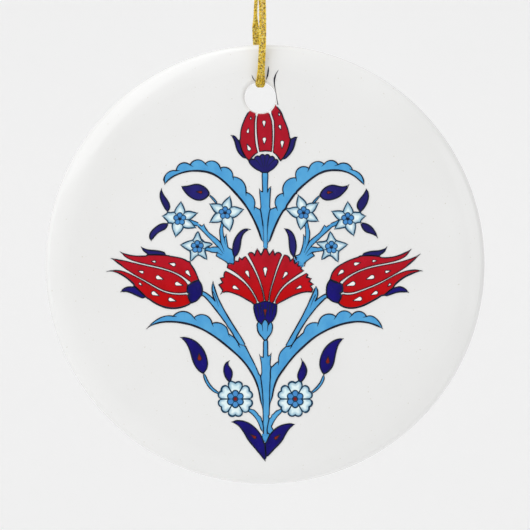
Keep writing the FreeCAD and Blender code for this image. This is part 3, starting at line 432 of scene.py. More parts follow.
def lineless(path, node):
    """How far each point is into a place where this node has no outline, from 0 to 1."""
    share = np.zeros(len(path))
    for names, start, end, reach in LINELESS:
        if not any(name in node for name in names):
            continue
        start, end = on_disc(start), on_disc(end)
        way = end - start
        along = np.clip((path - start) @ way / max(way @ way, 1e-9), 0, 1)
        away = np.hypot(*(path - start - along[:, None] * way).T)
        share = np.maximum(share, np.clip(1 + (reach - away) / LINELESS_FADE, 0, 1))
    return share


CLEAR_OF_HOLE, HOLE_FADE = 0.45, 0.35  # outlines thin out this near the hole, in mm
GAP_HALF_WIDTH = 0.055  # an outline's half width in mm beside a white gap
NARROW_GAP = 0.95  # a gap of this many mm or less is narrow


def outline_strokes(
    strokes, loops, width, heavy=0.0, towards=(0, -1), lift=0.0, height=0.11, node=""
):
    """Outlines some fields. The sides that face one way can be drawn heavier, and a node's
    own rules hold where it is named."""
    for number, loop in enumerate(loops):
        path = even_points(loop, LINE_SPACING)
        ahead = np.roll(path, -1, axis=0) - np.roll(path, 1, axis=0)
        ahead /= np.maximum(np.hypot(*ahead.T), 1e-9)[:, None]
        outward = np.column_stack([ahead[:, 1], -ahead[:, 0]])
        facing = np.clip(outward @ (np.array(towards) / np.hypot(*towards)), 0, 1)
        facing = np.convolve(np.tile(facing, 3), np.ones(7) / 7, "same")
        facing = facing[len(path) : 2 * len(path)]
        half = hand_width(path, width, number + len(loop)) + heavy / 2 * facing
        from_hole = np.hypot(path[:, 0] - HOLE_X, path[:, 1] - HOLE_Z)
        half *= np.clip((from_hole - HOLE_RADIUS - CLEAR_OF_HOLE) / HOLE_FADE, 0.02, 1)
        inset = heavy / 4 * facing
        if node:
            half = np.minimum(half, np.maximum(0.045, 0.3 * field_width(path, outward)))
            half *= 1 - 0.85 * lineless(path, node)
        if node.endswith(WHITE_GAPS):
            others = [other for other in loops if other is not loop]
            gap = np.min([distance_to(path, other) for other in others], axis=0)
            beside = np.clip((NARROW_GAP - gap) / 0.3, 0, 1)
            half += (np.minimum(half, GAP_HALF_WIDTH) - half) * beside
            inset -= (0.02 + inset) * beside
        strokes.draw(path - outward * inset[:, None], half, height, lift)


# Materials
# ---------


def linear(red, green, blue):
    """A linear colour from 8-bit display values."""

    def one(value):
        value /= 255
        return value / 12.92 if value <= 0.04045 else ((value + 0.055) / 1.055) ** 2.4

    return (one(red), one(green), one(blue), 1.0)


class Surface:
    """A node material under construction."""

    def __init__(self, name):
        self.material = bpy.data.materials.new(name)
        self.material.use_nodes = True
        self.nodes = self.material.node_tree.nodes
        self.links = self.material.node_tree.links
        self.shader = self.nodes["Principled BSDF"]
        self.place = self.nodes.new("ShaderNodeTexCoord").outputs["Object"]

    def noise(self, scale, detail=3.0, stretch=(1, 1, 1)):
        mapping = self.nodes.new("ShaderNodeMapping")
        mapping.inputs["Scale"].default_value = stretch
        self.links.new(self.place, mapping.inputs["Vector"])
        noise = self.nodes.new("ShaderNodeTexNoise")
        noise.inputs["Scale"].default_value = scale
        noise.inputs["Detail"].default_value = detail
        self.links.new(mapping.outputs["Vector"], noise.inputs["Vector"])
        return noise.outputs["Fac"]

    def spread(self, value, low, high, to_low=0.0, to_high=1.0):
        """A value's range from low to high, brought to another range and clamped."""
        node = self.nodes.new("ShaderNodeMapRange")
        for socket, number in zip(
            ("From Min", "From Max", "To Min", "To Max"), (low, high, to_low, to_high)
        ):
            node.inputs[socket].default_value = number
        self.links.new(value, node.inputs["Value"])
        return node.outputs["Result"]

    def mix(self, share, first, second):
        """A colour between two; each is a colour or a socket."""
        node = self.nodes.new("ShaderNodeMix")
        node.data_type = "RGBA"
        self.links.new(share, node.inputs["Factor"])
        for socket, colour in ((node.inputs[6], first), (node.inputs[7], second)):
            if isinstance(colour, tuple):
                socket.default_value = colour
            else:
                self.links.new(colour, socket)
        return node.outputs[2]

    def attribute(self, name):
        node = self.nodes.new("ShaderNodeAttribute")
        node.attribute_name = name
        return node.outputs["Fac"]

    def axis(self, letter):
        node = self.nodes.new("ShaderNodeSeparateXYZ")
        self.links.new(self.place, node.inputs["Vector"])
        return node.outputs[letter]

    def from_hole(self):
        """The distance in mm from the hole's axis."""
        flat = self.nodes.new("ShaderNodeVectorMath")
        flat.operation = "MULTIPLY"
        self.links.new(self.place, flat.inputs[0])
        flat.inputs[1].default_value = (1 / MM, 0, 1 / MM)
        apart = self.nodes.new("ShaderNodeVectorMath")
        apart.operation = "DISTANCE"
        self.links.new(flat.outputs["Vector"], apart.inputs[0])
        apart.inputs[1].default_value = (HOLE_X, 0, HOLE_Z)
        return apart.outputs["Value"]

    def bump(self, height, distance, strength=1.0):
        node = self.nodes.new("ShaderNodeBump")
        node.inputs["Strength"].default_value = strength
        node.inputs["Distance"].default_value = distance
        self.links.new(height, node.inputs["Height"])
        self.links.new(node.outputs["Normal"], self.shader.inputs["Normal"])

    def colour(self, socket):
        self.links.new(socket, self.shader.inputs["Base Color"])

    def roughness(self, socket):
        self.links.new(socket, self.shader.inputs["Roughness"])


def glaze():
    """The disc's white glaze: nearly even, with faint clouds, pinholes and orange peel."""
    surface = Surface("white_glaze")
    clouds = surface.spread(surface.noise(45, 2), 0.35, 0.65)
    body = surface.mix(clouds, (0.800, 0.800, 0.790, 1), (0.822, 0.822, 0.815, 1))
    specks = surface.spread(surface.noise(2600, 1), 0.74, 0.80)
    surface.colour(surface.mix(specks, body, (0.66, 0.64, 0.58, 1)))
    surface.roughness(surface.spread(surface.noise(160, 3), 0.3, 0.7, 0.10, 0.17))
    surface.bump(surface.noise(330, 2), 0.00002, 0.5)
    surface.shader.inputs["Specular IOR Level"].default_value = 0.5
    return surface.material


UPPER_HEIGHTS = (-0.0535, -0.0455)  # m; between these the upper flowers' tones come in
HOLE_TONES = (2.98, 2.66)  # mm from the hole's axis; between these a colour fades


def enamel(name, main, second, edge, edge_reach=0.3, edge_share=0.7, upper=None, fade=None):
    """A fired colour: brushed unevenly, deeper where it pools along its edge."""
    surface = Surface(name)
    brushed = surface.spread(surface.noise(620, 4, (1, 1, 0.6)), 0.35, 0.68)
    colour = surface.mix(brushed, main, second)
    if upper:
        height = surface.spread(surface.axis("Z"), *UPPER_HEIGHTS)
        colour = surface.mix(height, colour, surface.mix(brushed, *upper))
    if edge:
        wavering = surface.noise(1500, 2)
        reach = surface.attribute("from_edge")
        near = surface.spread(reach, 0.0, edge_reach, edge_share, 0.0)
        uneven = surface.nodes.new("ShaderNodeMath")
        uneven.operation = "MULTIPLY"
        surface.links.new(near, uneven.inputs[0])
        surface.links.new(surface.spread(wavering, 0.3, 0.7, 0.7, 1.0), uneven.inputs[1])
        colour = surface.mix(uneven.outputs[0], colour, edge)
    if fade:
        colour = surface.mix(surface.spread(surface.from_hole(), *HOLE_TONES), colour, fade)
    surface.colour(colour)
    surface.roughness(surface.spread(surface.noise(900, 3), 0.3, 0.7, 0.16, 0.30))
    surface.bump(surface.noise(1400, 3), 0.00002, 0.5)
    surface.shader.inputs["Specular IOR Level"].default_value = 0.14
    return surface.material


def gold():
    """Metallised yarn: gold with dark brown-gold flecks of painted shade for the gaps between its threads, and
    pale gold painted highlights.
    """
    surface = Surface("gold_yarn")
    # painted shade: dark brown-gold flecks where the gaps between the threads fall in shade
    gold_over_gap_shade = surface.spread(surface.noise(3800, 1), 0.39, 0.48)
    tone = surface.mix(gold_over_gap_shade, linear(120, 88, 6), linear(238, 203, 50))
    # painted highlight: pale gold glints on the threads
    painted_glint = surface.spread(surface.noise(3300, 1), 0.57, 0.63)
    surface.colour(surface.mix(painted_glint, tone, linear(255, 242, 140)))
    surface.roughness(surface.spread(surface.noise(4200, 2), 0.3, 0.7, 0.34, 0.5))
    surface.bump(surface.noise(9000, 2), 0.00002, 0.5)
    surface.shader.inputs["Metallic"].default_value = 0.25
    return surface.material


SLOT_OF = {part["node"]: part["material_slot"] for part in frame["record"]["subparts"]}

PAINTS = {
    "red_enamel": enamel(
        "red_paint", linear(190, 0, 2), linear(176, 0, 3), linear(130, 2, 8), 0.32, 0.45,
        upper=(linear(178, 20, 42), linear(164, 18, 36)), fade=linear(222, 128, 146),
    ),
    "cobalt_enamel": enamel(
        "cobalt_paint", linear(22, 13, 116), linear(16, 10, 92), linear(12, 12, 48), 0.3, 0.6,
        upper=(linear(36, 32, 112), linear(30, 26, 94)),
    ),
    "sky_enamel": enamel(
        "sky_paint", linear(74, 154, 210), linear(88, 168, 218), linear(60, 136, 196), 0.3, 0.5
    ),
    "pale_enamel": enamel(
        "pale_paint", linear(234, 246, 246), linear(214, 238, 242), linear(52, 140, 182), 0.62, 1.0
    ),
    "mid_blue_enamel": enamel(
        "mid_blue_paint", linear(78, 148, 208), linear(66, 130, 196), linear(36, 82, 140), 0.25, 0.7
    ),
    "white_enamel": enamel(
        "white_paint", linear(246, 245, 242), linear(240, 238, 234), linear(214, 196, 196), 0.1, 0.3
    ),
    "rust_enamel": enamel(
        "rust_paint", linear(142, 32, 22), linear(116, 22, 22), linear(50, 14, 34), 0.2, 0.8
    ),
    "ink_enamel": enamel("ink_paint", linear(28, 24, 44), linear(22, 22, 40), None),
}
LINE_INK = enamel("line_ink", linear(16, 22, 36), linear(28, 36, 56), None)
TEAL_INK = enamel("teal_ink", linear(20, 66, 92), linear(14, 48, 76), None)


# Camera
# ------

VIEW_WIDTH = 0.0881  # how much the picture takes in at the disc, side to side
AIM_DROP = 0.12  # how far below the disc's centre the camera aims, in mm
LENS, SENSOR = 200.0, 36.0
camera_data = bpy.data.cameras.new("camera")
camera_data.lens = LENS
camera_data.sensor_width = SENSOR
camera = bpy.data.objects.new("camera", camera_data)
bpy.context.scene.collection.objects.link(camera)
camera_gap = VIEW_WIDTH * LENS / SENSOR
camera.location = (CENTRE_X * MM, -camera_gap, (CENTRE_Z - AIM_DROP) * MM)
camera.rotation_euler = (math.pi / 2, 0, 0)
camera_data.clip_start, camera_data.clip_end = 0.01, 10
bpy.context.scene.camera = camera
bpy.context.scene.view_settings.view_transform = "Standard"

# The cord: a flat braid that goes down the front, through the hole and up the back
# ---------------------------------------------------------------------------------

# The route about the disc's centre in mm, as (across, depth, up), from the knot and back.
CORD_ROUTE = [
    (-0.70, -0.75, 48.45),
    (-0.55, -1.45, 45.60),
    (-0.42, -2.10, 42.60),
    (-0.38, -2.62, 39.40),
    (-0.42, -2.88, 35.80),
    (-0.62, -2.90, 32.60),
    (-0.75, -2.90, 29.55),
    (-0.80, 2.90, 29.55),
    (-0.95, 2.90, 32.60),
    (-1.35, 2.88, 35.80),
    (-1.60, 2.62, 39.40),
    (-1.60, 2.10, 42.60),
    (-1.35, 1.45, 45.60),
    (-1.00, 0.75, 48.45),
]
BRAID_WIDTH, BRAID_THICKNESS = 1.25, 0.5  # mm
YARNS, YARN_RADIUS, BRAID_PITCH = 8, 0.125, 2.3
BRAID_SPACING = 0.13  # between the points of its line, in mm


def smooth_line(name, route_mm):
    """Points in mm along the smooth line that has a route's points as its control points."""
    curve = bpy.data.curves.new(name, "CURVE")
    curve.dimensions = "3D"
    curve.resolution_u = 24
    spline = curve.splines.new("NURBS")
    spline.points.add(len(route_mm) - 1)
    for point, place in zip(spline.points, route_mm):
        point.co = (*(value * MM for value in place), 1)
    spline.order_u = 3
    spline.use_endpoint_u = True
    holder = bpy.data.objects.new(name, curve)
    bpy.context.scene.collection.objects.link(holder)
    bpy.context.view_layer.update()
    mesh = bpy.data.meshes.new_from_object(holder)
    points = np.array([v.co for v in mesh.vertices]) / MM
    bpy.data.objects.remove(holder)
    bpy.data.curves.remove(curve)
    bpy.data.meshes.remove(mesh)
    return points


def evenly(points, spacing):
    """The same line at even spacing, with the distance along it."""
    along = np.concatenate([[0], np.cumsum(np.linalg.norm(np.diff(points, axis=0), axis=1))])
    at = np.linspace(0, along[-1], max(3, int(along[-1] / spacing)))
    return np.column_stack([np.interp(at, along, axis) for axis in points.T]), at


def line_frames(line, flat_way):
    """Along, across and out directions at each point, with the flat side facing flat_way."""
    along = np.gradient(line, axis=0)
    along /= np.linalg.norm(along, axis=1)[:, None]
    across = flat_way - along * np.sum(flat_way * along, axis=1)[:, None]
    across /= np.linalg.norm(across, axis=1)[:, None]
    return along, across, np.cross(along, across)


def yarn_tube(centres, across, out, radius):
    """A round tube of six sides, closed at its ends."""
    count, sides = len(centres), 6
    angles = np.arange(sides) * 2 * math.pi / sides
    rings = [
        centres + (across * math.cos(a) + out * math.sin(a)) * radius[:, None] for a in angles
    ]
    points = np.stack(rings, axis=1).reshape(-1, 3)
    faces = []
    for ring in range(0, (count - 1) * sides, sides):
        for k in range(sides):
            turned = (k + 1) % sides
            faces.append([ring + k, ring + turned, ring + sides + turned, ring + sides + k])
    faces.append(list(reversed(range(sides))))
    faces.append([(count - 1) * sides + k for k in range(sides)])
    return points, faces


def braid(line, at, flat_way, width=BRAID_WIDTH, start=0.0, fray_from=None, seed=0, curl=None):
    """A flat braid's yarns along a line. Past fray_from they part and spread. Where curl is
    more than nothing, the braid's edges stand that much higher than its middle."""
    _, across, out = line_frames(line, flat_way)
    reach = np.broadcast_to(np.asarray(width) / 2 - YARN_RADIUS, at.shape)
    lie = BRAID_THICKNESS / 2 - YARN_RADIUS
    yarns = Gathered()
    shuffle = np.random.default_rng(seed)
    for yarn in range(YARNS):
        phase = 2 * math.pi * (yarn / YARNS + (at + start) / BRAID_PITCH)
        side = 2 / math.pi * np.arcsin(0.94 * np.sin(phase)) / 0.78
        u = reach * side
        v = lie * np.sin(2 * phase)
        radius = np.full(len(at), YARN_RADIUS)
        if fray_from is not None:
            loose = np.clip((at - fray_from) / (at[-1] - fray_from), 0, 1) ** 1.4
            lean = shuffle.uniform(-1, 1, 2)
            u = u * (1 - loose) + loose * (u * 0.8 + lean[0] * 0.75)
            v = v * (1 - loose) + loose * lean[1] * 0.5
            radius = radius * (1 - 0.55 * loose)
        centres = line + across * u[:, None] + out * v[:, None]
        if curl is not None:
            centres[:, 2] += curl * (u / (BRAID_WIDTH / 2)) ** 2
        yarns.add(*yarn_tube(centres, across, out, radius))
    return np.vstack(yarns.points), yarns.faces


gold_yarn = gold()
route = [(x + CENTRE_X, y, z + CENTRE_Z) for x, y, z in CORD_ROUTE]
cord_line, cord_at = evenly(smooth_line("cord_route", route), BRAID_SPACING)

# The braid lies flat on the hole's edge and against the face. Up the back it lies flat to
# just past the rim, then twists by nearly a quarter turn on its way to the knot. At the
# hole it spreads and its edges curl up.
TWIST_FROM, TWIST_LENGTH, TWIST = 38.6, 3.2, math.radians(74)
BIGHT_HEIGHT, BIGHT_REACH, BIGHT_SPREAD, BIGHT_CURL = 29.6, 1.6, 0.30, 0.24
height = cord_line[:, 2] - CENTRE_Z
edge_on = TWIST * eased(np.clip((height - TWIST_FROM) / TWIST_LENGTH, 0, 1))
edge_on[cord_line[:, 1] <= 0] = 0
_, level, outward = line_frames(cord_line, np.tile([1.0, 0.0, 0.0], (len(cord_at), 1)))
flat_side = level * np.cos(edge_on)[:, None] + outward * np.sin(edge_on)[:, None]
bight = np.exp(-(((height - BIGHT_HEIGHT) / BIGHT_REACH) ** 2))
cord_points, cord_faces = braid(
    cord_line,
    cord_at,
    flat_side,
    width=BRAID_WIDTH * (1 + BIGHT_SPREAD * bight),
    curl=BIGHT_CURL * bight,
)
cord_piece = new_object("gold_braid", cord_points, cord_faces, gold_yarn)

# An overhand knot in both strands at once: up through the middle, over the top, once round
# everything, and up through the middle again, to two cut tails.
KNOT_ROUTE = [
    (0.00, 0.00, 0.30),
    (-0.45, 0.10, 1.10),
    (-0.40, 0.30, 2.20),
    (-0.10, 0.20, 3.30),
    (0.75, -0.30, 3.75),
    (1.35, -1.05, 3.05),
    (0.30, -1.55, 2.45),
    (-1.20, -1.15, 2.15),
    (-1.55, 0.30, 1.95),
    (-0.60, 1.45, 1.70),
    (0.95, 1.35, 1.45),
    (1.50, 0.20, 1.05),
    (0.95, -0.75, 0.85),
    (0.35, -0.55, 1.60),
    (0.25, -0.20, 2.70),
]
TAILS = [
    [(-0.20, 0.00, 3.70), (-0.55, 0.15, 4.70), (-0.85, 0.20, 6.80), (-1.05, 0.05, 8.90),
     (-1.00, -0.25, 10.60)],
    [(0.35, -0.15, 3.70), (0.60, -0.25, 4.70), (0.95, -0.20, 6.70), (0.80, 0.10, 8.50),
     (1.05, 0.35, 9.90)],
]
STRAND_OFFSETS = [(-0.14, 0.16, 0.10), (0.14, -0.16, -0.10)]
KNOT_MIDDLE = (0.0, 0.0, 2.1)
STRAND_WIDTH, FRAYED = 1.15, 2.2  # the braid pulled narrow, and how much of a tail is loose
knot = Gathered()
for strand, (shift, tail) in enumerate(zip(STRAND_OFFSETS, TAILS)):
    path = [tuple(np.add(point, shift)) for point in KNOT_ROUTE] + tail
    line, at = evenly(smooth_line("knot_route", path), BRAID_SPACING)
    from_middle = (line - KNOT_MIDDLE) * (1, 1, 0.35)
    flat = np.cross(np.gradient(line, axis=0), from_middle)
    for _ in range(12):
        flat[1:-1] = (flat[:-2] + flat[1:-1] * 2 + flat[2:]) / 4
    flat += (0.02, 0.0, 0.0)  # so that it is nowhere nothing
    loose_from = at[-1] - FRAYED
    knot.add(*braid(line, at, flat, STRAND_WIDTH, strand * 1.3, loose_from, seed=7 + strand))
knot_piece = knot.as_object("gold_knot", gold_yarn)

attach(cord_piece, "cord")
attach(knot_piece, "cord")
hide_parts("hanging_cord")
for node in ("cord_knot", "cord_tail_left", "cord_tail_right"):
    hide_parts(node)

# The disc and its paint
# ----------------------

disc = frame["nodes"]["ceramic_disc"]
disc.data.materials.clear()
disc.data.materials.append(glaze())

OVER_FACE_SLOTS = ("white_enamel", "rust_enamel", "mid_blue_enamel")
OVER_EYE_NODES = ("star_flower_hearts", "rosette_beads")
paint_nodes = [n for n, slot in SLOT_OF.items() if slot not in ("glazed_body", "gold_cord")]
over_face = [n for n in paint_nodes if SLOT_OF[n] in OVER_FACE_SLOTS]
LOOPS = touching_outlines(
    [n for n in paint_nodes if n not in over_face and n not in OVER_EYE_NODES]
)
LOOPS.update({n: outlines_of(n) for n in paint_nodes if n not in LOOPS})
for node in paint_nodes:
    if node == "top_tulip_tips":
        continue
    base, coat = 0.0, COAT
    if node in over_face:
        base, coat = COAT, SPOT_COAT
    if node in OVER_EYE_NODES:
        base, coat = COAT + SPOT_COAT, SPOT_COAT
    spacing = BROAD_SPACING if base == 0.0 else FINE_SPACING
    paint_field(node, LOOPS[node], PAINTS[SLOT_OF[node]], coat, base, spacing)

# Where the spray stems run in under the star flowers: start, end, width, about the disc's
# centre in mm.
STEM_ENDS = [
    ((-11.15, 6.6), (-12.9, 7.25), 0.62),
    ((-7.2, 6.0), (-6.9, 7.4), 0.44),
    ((-8.95, 2.4), (-10.2, 2.65), 0.60),
    ((11.0, 6.45), (12.5, 7.1), 0.62),
    ((7.0, 5.85), (6.7, 7.3), 0.58),
    ((8.65, 2.4), (9.9, 2.6), 0.60),
]
# Where some nodes' colours run together with hardly a line: names, start, end, reach.
LINELESS = [(("spray",), start, end, width / 2 - 0.02) for start, end, width in STEM_ENDS]
LINELESS += [
    (("top_stem", "upper_left_plume", "upper_right_plume"), (0.05, 2.6), (0.05, 6.2), 0.34),
    (("left_tulip_stem", "lower_left_plume"), (-3.95, -13.35), (-3.75, -13.4), 0.26),
    (("left_spray",), (-6.0, 0.45), (-5.35, 1.1), 0.34),
    (("right_spray",), (6.15, 0.1), (5.35, 0.7), 0.30),
    (("centre_stem", "rosette_stems"), (0.05, -28.4), (0.05, -29.4), 0.40),
    (("centre_stem", "rosette_stems"), (0.5, -28.3), (0.5, -28.3), 0.22),
]

# Outlines. Numbers are widths in mm, and how much wider the sides that face one way are.
PLAIN = (0.22, 0.0, (0, -1))
FINE = (0.16, 0.0, (0, -1))
OUTLINES = {
    "left_tulip_petals": (0.21, 0.14, (0, -1)),
    "right_tulip_petals": (0.21, 0.14, (0, -1)),
    "carnation_cup": FINE,
    "top_tulip_calyx": FINE,
    "upper_left_plume": (0.19, 0.22, (-0.6, -0.8)),
    "upper_right_plume": (0.19, 0.22, (0.6, -0.8)),
    "lower_left_plume": (0.19, 0.20, (-0.5, -0.85)),
    "lower_right_plume": (0.19, 0.20, (0.5, -0.85)),
    "top_stem": FINE,
    "centre_stem": FINE,
    "left_spray_stems": FINE,
    "right_spray_stems": FINE,
    "rosette_stems": FINE,
}
flowers = ("left_star_flowers", "right_star_flowers", "rosette_petals")
outer_lines, flower_lines, inner_lines = Strokes(), Strokes(), Strokes()
for node, loops in LOOPS.items():
    if node in flowers:
        width = 0.30 if node == "rosette_petals" else 0.23
        outline_strokes(flower_lines, loops, width, node=node)
    elif node in over_face and node not in ("star_flower_eyes", "rosette_eyes"):
        outline_strokes(inner_lines, loops, 0.13, lift=COAT, height=0.06)
    elif node not in over_face and node not in OVER_EYE_NODES and node != "top_tulip_tips":
        width, heavy, towards = OUTLINES.get(node, PLAIN)
        outline_strokes(outer_lines, loops, width, heavy, towards, node=node)


def line_between(strokes, start, end, width, lift, height=0.05, end_width=None, sag=0.0):
    """A short tapering line, bent to its left by sag."""
    start, end = np.array(start, float), np.array(end, float)
    share = np.linspace(0, 1, max(4, int(np.hypot(*(end - start)) / 0.1)))[:, None]
    aside = np.array([start[1] - end[1], end[0] - start[0]])
    path = start + (end - start) * share + aside * sag * 4 * share * (1 - share)
    end_width = width if end_width is None else end_width
    half = (width + (end_width - width) * share[:, 0]) / 2
    strokes.draw(path, half, height, lift, closed=False)


def around(centre, radius, degrees):
    turn = math.radians(degrees)
    return (centre[0] + radius * math.cos(turn), centre[1] + radius * math.sin(turn))


def low_points(values, below):
    """Where a closed row of values has its low points, if they are low enough."""
    low = (values < np.roll(values, 1)) & (values <= np.roll(values, -1))
    return np.flatnonzero(low & (values < below * values.max()))


# The flowers' inner lines, in mm: between the petals and how far out those may start, round
# the eye, and the ring round its middle with its line's half width.
EYE_LINES = {
    "star_flower_eyes": (0.17, math.inf, 0.15, 0.28, 0.05),
    "rosette_eyes": (0.24, 2.4, 0.22, 0.39, 0.11),
}
FOLD_WIDTH, FOLD_END = 0.11, 0.45  # the folds between the eye's lobes, and where they end
EYE_TOP = COAT + SPOT_COAT
petals = [loop for node in flowers for loop in LOOPS[node]]
for eyes, (petal_line, farthest, eye_line, ring_radius, ring_line) in EYE_LINES.items():
    for eye in LOOPS[eyes]:
        centre = (eye.min(axis=0) + eye.max(axis=0)) / 2
        petal = min(petals, key=lambda loop: np.hypot(*(loop.mean(axis=0) - centre)))
        out = np.hypot(*(petal - centre).T)
        eye_out = np.hypot(*(eye - centre).T)
        for index in low_points(out, 0.85):
            if out[index] > farthest:
                continue
            toward = (petal[index] - centre) / out[index]
            start = centre + toward * (out[index] + 0.05)
            end = centre + toward * eye_out.max() * 0.8
            line_between(flower_lines, start, end, petal_line, COAT, 0.03)
        outline_strokes(flower_lines, [eye], eye_line, lift=COAT, height=0.06)
        for index in low_points(eye_out, 0.85):
            end = centre + (eye[index] - centre) * FOLD_END
            line_between(flower_lines, eye[index], end, FOLD_WIDTH, EYE_TOP, 0.02)
        ring = [around(centre, ring_radius, degrees) for degrees in range(0, 360, 15)]
        flower_lines.draw(ring, np.full(len(ring), ring_line), 0.06, EYE_TOP)

# The thin dark ends of the top tulip's petals, which run on round the hole: places about the
# disc's centre in mm, and widths at even steps along them.
PETAL_ENDS = [
    (
        [(-1.45, 30.25), (-1.75, 30.45), (-2.0, 30.8), (-2.2, 31.35)],
        (0.06, 0.14, 0.16, 0.05),
    ),
    (
        [(0.20, 30.6), (0.42, 31.2), (0.52, 31.9), (0.60, 32.75)],
        (0.10, 0.26, 0.26, 0.05),
    ),
    (
        [(2.14, 26.4), (2.04, 26.9), (1.96, 27.4), (1.85, 28.1), (1.68, 29.0), (1.54, 29.9),
         (1.54, 30.6), (1.76, 31.4), (2.22, 32.2)],
        (0.16, 0.12, 0.10, 0.10, 0.14, 0.22, 0.30, 0.14, 0.05),
    ),
]
petal_ends = Strokes()
for places, widths in PETAL_ENDS:
    path, at = evenly(on_disc(places), 0.1)
    for _ in range(4):
        path[1:-1] = (path[:-2] + 2 * path[1:-1] + path[2:]) / 4
    half = np.interp(at, np.linspace(0, at[-1], len(widths)), widths) / 2
    petal_ends.draw(path, half, 0.09, closed=False)
petal_ends_piece = petal_ends.build("top_tulip_tips_paint", PAINTS["ink_enamel"], "ink_enamel")
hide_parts("top_tulip_tips")

# Dark veins, as (start, end, width, end width, bend), about the disc's centre in mm.
VEIN_HEIGHT = 0.035
VEINS = [
    # folds of the carnation's cup
    ((-1.30, -6.9), (-1.05, -8.9), 0.20, 0.08, 0.03),
    ((-0.75, -6.6), (-0.62, -8.6), 0.22, 0.06, 0.02),
    ((-0.30, -6.5), (-0.30, -7.9), 0.16, 0.05, 0.0),
    ((0.40, -6.5), (0.36, -7.9), 0.16, 0.05, 0.0),
    ((0.85, -6.7), (0.75, -8.7), 0.22, 0.06, -0.02),
    ((1.45, -6.9), (1.15, -8.9), 0.20, 0.08, -0.03),
    # its calyx
    ((-0.50, -9.95), (-0.38, -11.1), 0.16, 0.05, 0.02),
    ((0.52, -9.95), (0.40, -11.1), 0.16, 0.05, -0.02),
    # folds of the top tulip's calyx
    ((-1.55, 17.35), (-0.55, 16.0), 0.14, 0.05, 0.03),
    ((-0.80, 17.8), (-0.30, 16.1), 0.14, 0.05, 0.02),
    ((0.0, 17.9), (-0.08, 16.2), 0.14, 0.05, 0.0),
    ((0.75, 17.75), (0.20, 16.1), 0.14, 0.05, -0.02),
    ((1.5, 17.3), (0.42, 16.0), 0.14, 0.05, -0.03),
    # where the spray's branches part, and its thorns
    ((-7.3, 3.5), (-6.75, 2.1), 0.16, 0.06, 0.02),
    ((-7.75, 2.85), (-6.9, 1.75), 0.14, 0.05, 0.02),
    ((-6.75, 4.3), (-6.55, 3.2), 0.14, 0.05, 0.0),
    ((-9.95, 6.2), (-9.3, 5.3), 0.13, 0.05, 0.0),
    ((-7.9, 1.95), (-7.1, 1.5), 0.14, 0.05, 0.0),
    ((7.1, 3.3), (6.5, 1.9), 0.16, 0.06, -0.02),
    ((7.6, 2.9), (6.7, 1.6), 0.14, 0.05, -0.02),
    ((6.68, 4.45), (6.6, 3.3), 0.14, 0.05, 0.0),
    ((9.5, 5.9), (8.9, 5.0), 0.13, 0.05, 0.0),
    ((7.75, 1.95), (6.95, 1.4), 0.14, 0.05, 0.0),
    # the stalks of the two leaves beside the carnation
    ((-5.07, 1.4), (-5.12, 0.55), 0.32, 0.18, 0.03),
    ((4.9, 1.45), (5.2, 0.7), 0.34, 0.20, 0.03),
    # the sprays' outer edges where they reach the carnation
    ((-6.6, 0.5), (-6.15, 0.12), 0.16, 0.16, 0.0),
    ((6.7, 0.3), (6.5, -0.35), 0.16, 0.14, 0.0),
    # thorns of the tulip stems
    ((-8.6, -4.5), (-7.7, -7.0), 0.14, 0.05, 0.03),
    ((8.4, -5.0), (7.5, -7.2), 0.14, 0.05, -0.03),
]
for start, end, width, end_width, sag in VEINS:
    start, end = on_disc([start, end])
    line_between(outer_lines, start, end, width, COAT, VEIN_HEIGHT, end_width, sag)

# Each scallop of a plume overlaps the next one, so its line starts inside the colour.
SCALLOP_LINE = 0.62
for node in [name for name in LOOPS if name.endswith("plume")]:
    for loop in outlines_of(node):
        for corner in np.flatnonzero(turns_of(loop) < -CORNER_TURN):
            here = loop[corner]
            if abs(here[0] - CENTRE_X) < 1.5:
                continue
            ways = [loop[(corner + step) % len(loop)] - here for step in (-3, 3)]
            outer_way = max(ways, key=lambda way: way[0] * np.sign(here[0] - CENTRE_X))
            end = here - outer_way / np.hypot(*outer_way) * SCALLOP_LINE
            line_between(outer_lines, here, end, 0.19, COAT, VEIN_HEIGHT, 0.05)

outer_lines.build("painted_outlines", LINE_INK, "ink_enamel")

# The stems run in under the carnation's toothed petals, the star flowers and the leaves.
UNDERLAYS = [
    [(-6.35, 0.3), (-6.25, -0.1), (-5.4, -0.3), (-4.95, 0.3), (-5.05, 1.0), (-5.6, 1.5)],
    [(6.5, 0.1), (6.4, -0.5), (5.7, -0.5), (5.0, 0.2), (4.8, 0.9), (4.9, 1.35), (5.6, 1.6)],
    [(-0.6, -28.0), (0.9, -28.0), (0.55, -28.8), (0.1, -29.75), (-0.35, -29.0)],
]
UNDER_COAT = COAT * 0.7
under_lines, under_fields = Strokes(), Gathered()
for start, end, width in STEM_ENDS:
    start, end = np.array(start), np.array(end)
    way = end - start
    aside = np.array([-way[1], way[0]]) / np.hypot(*way) * width / 2
    UNDERLAYS.append([start - aside, end - aside, end + aside, start + aside])
    for side in (-aside, aside):
        line_between(under_lines, *on_disc([start + side, end + side]), 0.16, 0.0, COAT * 0.85)
for shape in UNDERLAYS:
    under_fields.add(*coated_field(on_disc(shape), UNDER_COAT, 0.0, BROAD_SPACING)[:2])
underlay = under_fields.as_object("spray_underlay", PAINTS["sky_enamel"])
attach(underlay, "disc")
under_lines.build("stem_end_outlines", LINE_INK, "ink_enamel")
flower_lines.build("flower_outlines", TEAL_INK, "ink_enamel")
inner_lines.build("spot_outlines", LINE_INK, "ink_enamel")

# Studio
# ------


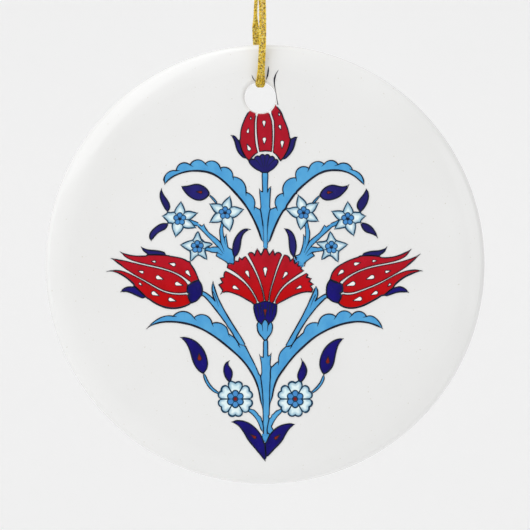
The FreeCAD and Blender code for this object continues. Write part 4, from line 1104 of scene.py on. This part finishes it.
def studio():
    """A pale floor that curves up into a backdrop, well below and behind the ornament."""
    front, bend_from, bend, floor, top = -1.2, 0.80, 0.20, -0.25, 1.0
    section = [(front, floor)]
    for step in range(13):
        turn = math.radians(step * 7.5)
        section.append((bend_from + bend * math.sin(turn), floor + bend * (1 - math.cos(turn))))
    section.append((bend_from + bend, top))
    points = [(x, y, z) for x in (-1.5, 1.5) for y, z in section]
    count = len(section)
    faces = [[i, i + 1, count + i + 1, count + i] for i in range(count - 1)]
    surface = Surface("backdrop")
    shade = surface.spread(surface.noise(6, 2), 0.3, 0.7)
    surface.colour(surface.mix(shade, (0.86, 0.86, 0.86, 1), (0.87, 0.87, 0.87, 1)))
    surface.roughness(surface.spread(surface.noise(40, 2), 0.3, 0.7, 0.85, 0.95))
    surface.bump(surface.noise(300, 2), 0.0002, 0.1)
    surface.shader.inputs["Specular IOR Level"].default_value = 0.0
    surface.shader.inputs["Emission Color"].default_value = (1, 1, 1, 1)
    surface.shader.inputs["Emission Strength"].default_value = 0.167
    backdrop = new_object("backdrop", np.array(points) / MM, faces, surface.material)


def lamp(name, place, size, watts):
    """A square soft box that faces the ornament."""
    light = bpy.data.lights.new(name, "AREA")
    light.size = size
    light.energy = watts
    holder = bpy.data.objects.new(name, light)
    bpy.context.scene.collection.objects.link(holder)
    holder.location = place
    aim = DISC_CENTRE - Vector(place)
    holder.rotation_euler = aim.to_track_quat("-Z", "Y").to_euler()


def air():
    """Soft light from all round, a little stronger from above."""
    world = bpy.data.worlds.new("studio_air")
    world.use_nodes = True
    nodes, links = world.node_tree.nodes, world.node_tree.links
    place = nodes.new("ShaderNodeTexCoord")
    split = nodes.new("ShaderNodeSeparateXYZ")
    links.new(place.outputs["Generated"], split.inputs["Vector"])
    share = nodes.new("ShaderNodeMapRange")
    share.inputs["From Min"].default_value = -0.7
    share.inputs["From Max"].default_value = 0.7
    share.inputs["To Min"].default_value = 0.30
    share.inputs["To Max"].default_value = 0.78
    links.new(split.outputs["Z"], share.inputs["Value"])
    links.new(share.outputs["Result"], nodes["Background"].inputs["Strength"])
    nodes["Background"].inputs["Color"].default_value = (1, 1, 1, 1)
    bpy.context.scene.world = world


studio()
air()
lamp("key", (-0.32, -0.36, 0.30), 0.45, 0.92)
lamp("fill", (0.42, -0.38, 0.02), 0.35, 0.28)
lamp("top", (-0.10, -0.10, 0.40), 0.25, 0.38)
lamp("side", (-0.42, -0.08, 0.0), 0.25, 0.16)
